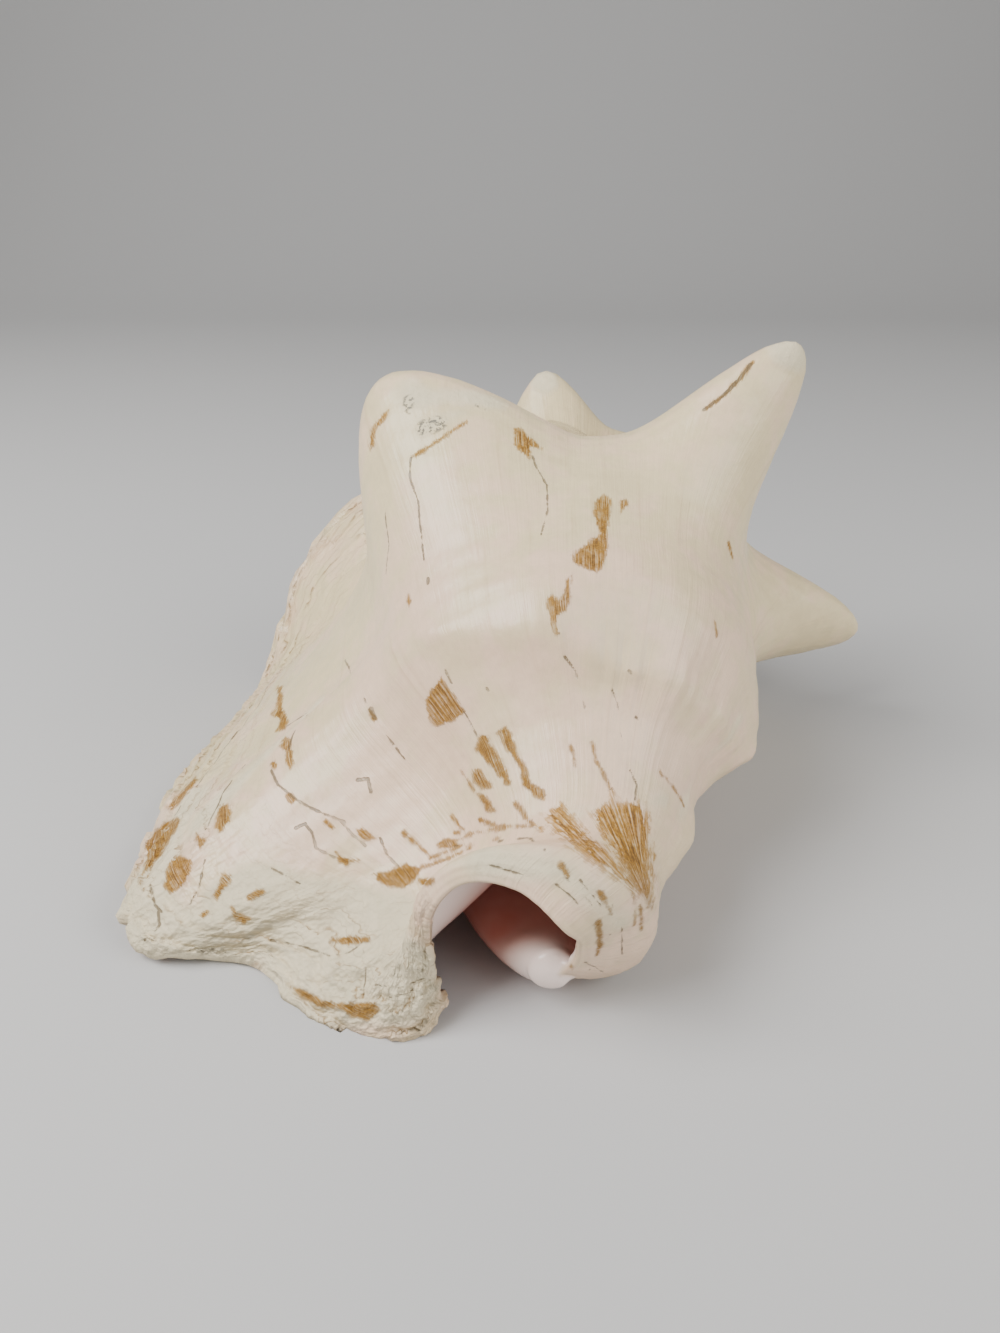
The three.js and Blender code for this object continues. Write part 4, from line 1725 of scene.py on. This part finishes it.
    def bumps(self, surface: Surface, chalky: Socket) -> Socket:
        """Adds up the fine relief of the bare outside.

        Args:
            surface: Numbers of the surface.
            chalky: Share of chalk.

        Returns:
            The height.
        """
        nodes = surface.nodes
        worn = nodes.math("MULTIPLY", surface.fine, chalky)
        layers = nodes.total((surface.step, self.step_height), (surface.layer, self.layer_height))
        layers = nodes.math("MULTIPLY", layers, surface.lip)
        pores = nodes.product(
            surface.fine, nodes.ramp(surface.marks[Mark.LIP], *self.pore_edge),
            nodes.ramp(surface.marks[Mark.ALONG], *self.pore_end),
        )
        height = nodes.total(
            (surface.streak, self.streak_height), (surface.thread, self.thread_height),
            (worn, self.worn_height), (surface.speck, self.speck_height), (surface.wave, self.wave_height),
            (layers, 1.0), (pores, self.pore_height),
        )
        return nodes.math("MULTIPLY", height, surface.bare)

    def chalkiness(self, surface: Surface) -> Socket:
        """Finds how worn and chalky the surface is.

        Args:
            surface: Numbers of the surface.

        Returns:
            Share of chalk.
        """
        nodes, marks = surface.nodes, surface.marks
        patches = nodes.noise(surface.place, self.chalk_noise)
        wear = nodes.total(
            (marks[Mark.WEAR], self.chalk_wear), (patches, self.chalk_share), (1.0, self.chalk_base)
        )
        wear = nodes.math("ADD", wear, nodes.ramp(marks[Mark.LIP], *self.chalk_lip))
        wear = nodes.math("ADD", wear, nodes.ramp(marks[Mark.TIP], *self.chalk_tip))
        return nodes.ramp(wear, *self.chalk_range)

    def body(self, surface: Surface, chalky: Socket) -> Socket:
        """Colours the bare outside.

        Args:
            surface: Numbers of the surface.
            chalky: Share of chalk.

        Returns:
            The colour.
        """
        nodes = surface.nodes
        pinker = nodes.total(*zip((surface.soft, surface.wave), self.pink_mix))
        pinker = nodes.ramp(pinker, *self.pink_range)
        lower = nodes.ramp(surface.marks[Mark.ALONG], *self.pink_along)
        colour = nodes.blend(nodes.math("ADD", pinker, lower, clamp=True), self.cream, self.pink)
        colour = nodes.blend(nodes.ramp(surface.streak, *self.streak_range), colour, self.tan)
        colour = nodes.blend(nodes.ramp(surface.thread, *self.thread_range), colour, self.tan)
        colour = nodes.blend(chalky, colour, self.chalk)
        shade = nodes.total(*zip((surface.soft, surface.wave, surface.fine), self.shade_mix))
        shade = nodes.ramp(shade, *self.shade_range)
        return nodes.blend(1.0, colour, nodes.vector(shade, shade, shade), "MULTIPLY")

    def ledges(self, surface: Surface) -> Socket:
        """Finds the dark lines painted at the foot of each raised ledge near the lip: painted shadow under
        the ledges, broken up by noise.

        Args:
            surface: Numbers of the surface.

        Returns:
            Share of painted ledge shadow.
        """
        nodes = surface.nodes
        steps = nodes.ramp(surface.step, *self.step_range)
        edge = nodes.math("MAXIMUM", steps, nodes.ramp(surface.layer, *self.layer_range))
        shadow_patches = nodes.ramp(nodes.noise(surface.place, self.ledge_shadow_noise), *self.ledge_shadow_range)
        edge = nodes.product(edge, nodes.ramp(surface.fine, *self.edge_breaks), shadow_patches)
        return nodes.product(edge, nodes.math("MULTIPLY", surface.lip, surface.bare), self.ledge_shadow_strength)

    def lining_and_painted_light(self, surface: Surface) -> Socket:
        """Colours the inside: pale at the knob, partly its own pale colour and partly a painted highlight,
        and dark red further in, partly the lining's own pink and partly painted shade of the deep canal.

        Args:
            surface: Numbers of the surface.

        Returns:
            The colour.
        """
        nodes = surface.nodes
        depth = nodes.add("ShaderNodeSeparateXYZ", {0: surface.place}).outputs["Y"]
        # Darker further back from the knob: painted shade in the deep canal.
        deeper = nodes.ramp(depth, *self.lining_shade_depth)
        deeper = nodes.math("MULTIPLY", deeper, nodes.ramp(surface.soft, *self.lining_range))
        return nodes.blend(deeper, self.inner_pale_lit, self.inner_pink_shaded)

    def skin(self, surface: Surface) -> tuple[Socket, Socket]:
        """Finds and colours the flakes of brown skin.

        Args:
            surface: Numbers of the surface.

        Returns:
            Share of skin and its colour.
        """
        nodes, fibre = surface.nodes, surface.fibre
        torn = nodes.noise(surface.place, self.torn_noise)
        depth = nodes.total(
            (torn, self.torn_reach), (fibre, self.fibre_reach), (1.0, self.skin_base),
            (surface.marks[Mark.FLAKE], 1.0),
        )
        thin = nodes.ramp(nodes.total(*zip((fibre, torn), self.thin_mix)), *self.thin_range)
        cover = nodes.math("MULTIPLY", nodes.ramp(depth, *self.skin_edge), thin)
        weave = nodes.total(*zip((fibre, surface.speck, torn), self.weave_mix))
        golden = nodes.ramp(weave, *self.weave_range)
        golden = nodes.math("MAXIMUM", golden, nodes.ramp(depth, *self.gold_edge))
        return nodes.math("MULTIPLY", cover, surface.bare), nodes.blend(golden, self.brown, self.gold)

    def damage(self, surface: Surface) -> tuple[Socket, Socket]:
        """Finds the hairlines and the pits.

        Args:
            surface: Numbers of the surface.

        Returns:
            Shares of hairline and of pit.
        """
        nodes, marks = surface.nodes, surface.marks
        split = nodes.total((surface.fine, 1.0), (1.0, self.split_base), (marks[Mark.CRACK], 1.0))
        split = nodes.product(
            nodes.ramp(split, *self.split_range), nodes.ramp(surface.streak, *self.split_breaks), surface.bare
        )
        speckle = nodes.ramp(nodes.noise(surface.place, self.pit_noise), *self.pit_speckle)
        return split, nodes.math("MULTIPLY", speckle, nodes.ramp(marks[Mark.PIT], *self.pit_range))


@dataclass
class Shell:
    """The whole shell as one piece."""

    middle: tuple = (0.8, -0.4, 0.0)
    table: float = 600.0
    join_rings: int = 5
    join_rounds: int = 24
    join_pull: float = 0.5
    at_table: float = 0.01
    fine_edge: float = 0.7
    fine_reach: float = 1.2
    fine_rounds: int = 2
    camera: PhotoCamera = field(default_factory=PhotoCamera)
    seen: SeenMarks = field(default_factory=SeenMarks)
    finish: ShellFinish = field(default_factory=ShellFinish)
    relief: Relief = field(default_factory=Relief)

    def build(self) -> bpy.types.Object:
        """Builds and dresses the shell.

        Returns:
            The finished piece.
        """
        coil = Coil()
        parts = [OlderWhorls(coil).build(), BodyWhorl(coil).build(), InnerLip().build()]
        for part in parts:
            log.info("%s: %d points", part.name, len(part.points))
            part.points = part.points - np.array(self.middle)
        mesh = self.join(parts)
        labels = self.carry(mesh, parts)
        self.soften(mesh, labels)
        piece = bpy.data.objects.new("conch_shell", mesh)
        bpy.context.scene.collection.objects.link(piece)
        material = self.finish.make()
        piece.data = self.relief.build().apply(piece, material)
        bpy.data.meshes.remove(mesh)
        points = read_points(piece.data)
        points[:, 2] = np.maximum(points[:, 2], 0.0)
        piece.data.vertices.foreach_set("co", points.ravel())
        self.mark(piece.data)
        piece.data.transform(Matrix.Scale(METRES, 4))
        piece.data.polygons.foreach_set("use_smooth", np.ones(len(piece.data.polygons), bool))
        piece.data.update()
        log.info("shell: %d faces", len(piece.data.polygons))
        return piece

    def join(self, parts: list) -> bpy.types.Mesh:
        """Joins the parts and cuts them off at the table.

        Args:
            parts: Closed parts.

        Returns:
            The joined mesh.
        """
        objects = [part.to_object() for part in parts]
        half = self.table / 2
        sides = (-half, half), (-half, half), (-self.table, 0.0)
        corners = np.array(list(itertools.product(*sides)))
        quads = [(0, 1, 3, 2), (4, 6, 7, 5), (0, 4, 5, 1), (2, 3, 7, 6), (0, 2, 6, 4), (1, 5, 7, 3)]
        objects.append(Part("table", corners, quads, {}).to_object())
        for thing, operation in zip(objects[1:], ("UNION", "UNION", "DIFFERENCE")):
            modifier = objects[0].modifiers.new(operation, "BOOLEAN")
            modifier.object, modifier.operation, modifier.solver = thing, operation, "MANIFOLD"
        made = plain_mesh(objects[0])
        for thing in objects:
            bpy.data.objects.remove(thing)
        return made

    def carry(self, mesh: bpy.types.Mesh, parts: list) -> np.ndarray:
        """Carries the parts' numbers over to the joined mesh.

        Args:
            mesh: Joined mesh.
            parts: Parts it was joined from.

        Returns:
            Number of the part that each vertex comes from.
        """
        points = np.vstack([part.points for part in parts])
        owner = np.repeat(np.arange(len(parts)), [len(part.points) for part in parts])
        tree = KDTree(len(points))
        for number, point in enumerate(points):
            tree.insert(point, number)
        tree.balance()
        nearest = np.array([tree.find(vertex.co)[1] for vertex in mesh.vertices])
        for name in (Mark.TURN, Mark.ALONG, Mark.LIP, Mark.INSIDE, Mark.TIP):
            write_mark(mesh, name.value, np.concatenate([part.marks[name] for part in parts])[nearest])
        return owner[nearest]

    def soften(self, mesh: bpy.types.Mesh, labels: np.ndarray) -> None:
        """Smooths the mesh near the lines where the parts meet.

        Args:
            mesh: Joined mesh.
            labels: Part of each vertex.
        """
        edges = np.empty(len(mesh.edges) * 2, int)
        mesh.edges.foreach_get("vertices", edges)
        first, second = edges.reshape(-1, 2).T
        points = read_points(mesh)
        near = np.zeros(len(points))
        mixed = labels[first] != labels[second]
        near[first[mixed]] = near[second[mixed]] = 1.0
        for ring in range(self.join_rings):
            weaker = 1.0 - (ring + 1) / (self.join_rings + 1)
            spread = near.copy()
            np.maximum.at(spread, first, np.where(near[second] > 0, weaker, 0.0))
            np.maximum.at(spread, second, np.where(near[first] > 0, weaker, 0.0))
            near = spread
        near[points[:, 2] < self.at_table] = 0.0
        count = np.bincount(np.concatenate([first, second]), minlength=len(points))[:, None]
        inside = read_mark(mesh, Mark.INSIDE.value)
        for _ in range(self.join_rounds):
            total = np.zeros_like(points)
            np.add.at(total, first, points[second])
            np.add.at(total, second, points[first])
            points += near[:, None] * self.join_pull * (total / count - points)
            mean = np.zeros_like(inside)
            np.add.at(mean, first, inside[second])
            np.add.at(mean, second, inside[first])
            inside += near * self.join_pull * (mean / count[:, 0] - inside)
        points[:, 2] = np.maximum(points[:, 2], 0.0)
        write_mark(mesh, Mark.INSIDE.value, inside)
        mesh.vertices.foreach_set("co", points.ravel())
        mesh.update()

    def mark(self, mesh: bpy.types.Mesh) -> None:
        """Makes the mesh finer at the marks and keeps the distances from them.

        Args:
            mesh: Mesh of the shell.
        """
        work = bmesh.new()
        work.from_mesh(mesh)
        placer = MarkPlacer(self.camera, BVHTree.FromBMesh(work), self.seen)
        normals = np.array([vertex.normal for vertex in work.verts])
        placer.scatter(read_points(mesh), normals, read_mark(mesh, Mark.INSIDE.value) <= 0)
        for _ in range(self.fine_rounds):
            points = np.array([vertex.co for vertex in work.verts])
            normals = np.array([vertex.normal for vertex in work.verts])
            flakes, cracks = placer.flakes(points, normals), placer.stroke_gap(points, Mark.CRACK)
            near = np.minimum(np.abs(flakes), np.abs(cracks)) < self.fine_reach
            long = [
                edge for edge in work.edges
                if any(near[vertex.index] for vertex in edge.verts) and edge.calc_length() > self.fine_edge
            ]
            bmesh.ops.subdivide_edges(work, edges=long, cuts=1, use_grid_fill=True)
            bmesh.ops.triangulate(work, faces=[face for face in work.faces if len(face.verts) > 4])
            work.verts.index_update()
            work.normal_update()
        normals = np.array([vertex.normal for vertex in work.verts])
        work.to_mesh(mesh)
        work.free()
        points = read_points(mesh)
        write_mark(mesh, Mark.FLAKE.value, placer.flakes(points, normals))
        write_mark(mesh, Mark.COMB.value, placer.comb(points, normals, read_mark(mesh, Mark.TURN.value)))
        for name in (Mark.CRACK, Mark.WEAR, Mark.PIT):
            write_mark(mesh, name.value, placer.stroke_gap(points, name))


@dataclass
class Studio:
    """Pale floor curving up behind, soft light and plain surroundings."""

    floor_colour: tuple = (0.50, 0.495, 0.49)
    width: float = 6.0
    front: float = -2.0
    bend_from: float = 0.9
    bend_radius: float = 0.6
    height: float = 2.5
    bend_steps: int = 16
    floor_rough: float = 0.8
    sky: float = 0.3
    sky_colour: tuple = (1.0, 0.99, 0.97)
    aim: tuple = (0.0, 0.0, 0.05)
    key_power: float = 20.5
    key_place: tuple = (-0.72, -0.25, 0.87)
    key_size: float = 0.7
    fill_power: float = 10.5
    fill_place: tuple = (0.85, -0.45, 0.6)
    fill_size: float = 0.9

    def build(self) -> None:
        """Adds the floor, the lights and the surroundings."""
        angles = np.radians(np.linspace(0.0, 90.0, self.bend_steps + 1))
        profile = [(self.front, 0.0)]
        profile += [
            (self.bend_from + self.bend_radius * math.sin(a), self.bend_radius * (1 - math.cos(a)))
            for a in angles
        ]
        profile.append((self.bend_from + self.bend_radius, self.height))
        points = [(x, y, z) for y, z in profile for x in (-self.width / 2, self.width / 2)]
        faces = [(2 * n, 2 * n + 1, 2 * n + 3, 2 * n + 2) for n in range(len(profile) - 1)]
        mesh = bpy.data.meshes.new("floor")
        mesh.from_pydata(points, [], faces)
        mesh.polygons.foreach_set("use_smooth", np.ones(len(faces), bool))
        floor = bpy.data.objects.new("floor", mesh)
        bpy.context.scene.collection.objects.link(floor)
        material = bpy.data.materials.new("floor")
        material.use_nodes = True
        shader = material.node_tree.nodes["Principled BSDF"]
        shader.inputs["Base Color"].default_value = (*self.floor_colour, 1.0)
        shader.inputs["Roughness"].default_value = self.floor_rough
        mesh.materials.append(material)
        self.light("key light", self.key_place, self.key_size, self.key_power)
        self.light("fill light", self.fill_place, self.fill_size, self.fill_power)
        world = bpy.data.worlds.new("surroundings")
        world.use_nodes = True
        sky = world.node_tree.nodes["Background"]
        sky.inputs["Color"].default_value = (*self.sky_colour, 1.0)
        sky.inputs["Strength"].default_value = self.sky
        bpy.context.scene.world = world

    def light(self, name: str, place: tuple, size: float, power: float) -> None:
        """Adds a soft light aimed at the shell.

        Args:
            name: Name of the light.
            place: Its place, in metres.
            size: Side of its square.
            power: Its power in watts.
        """
        data = bpy.data.lights.new(name, "AREA")
        data.shape, data.size, data.energy = "SQUARE", size, power
        made = bpy.data.objects.new(name, data)
        made.location = place
        made.rotation_euler = (Vector(self.aim) - Vector(place)).to_track_quat("-Z", "Y").to_euler()
        bpy.context.scene.collection.objects.link(made)


def main() -> None:
    """Builds the shell, its surroundings and the camera."""
    logging.basicConfig(level=logging.INFO, format="%(name)s: %(message)s")
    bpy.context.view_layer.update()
    piece = Shell().build()
    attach(piece, BODY)
    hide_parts(NODE)
    Studio().build()
    PhotoCamera().make()


if __name__ == "__main__":
    main()
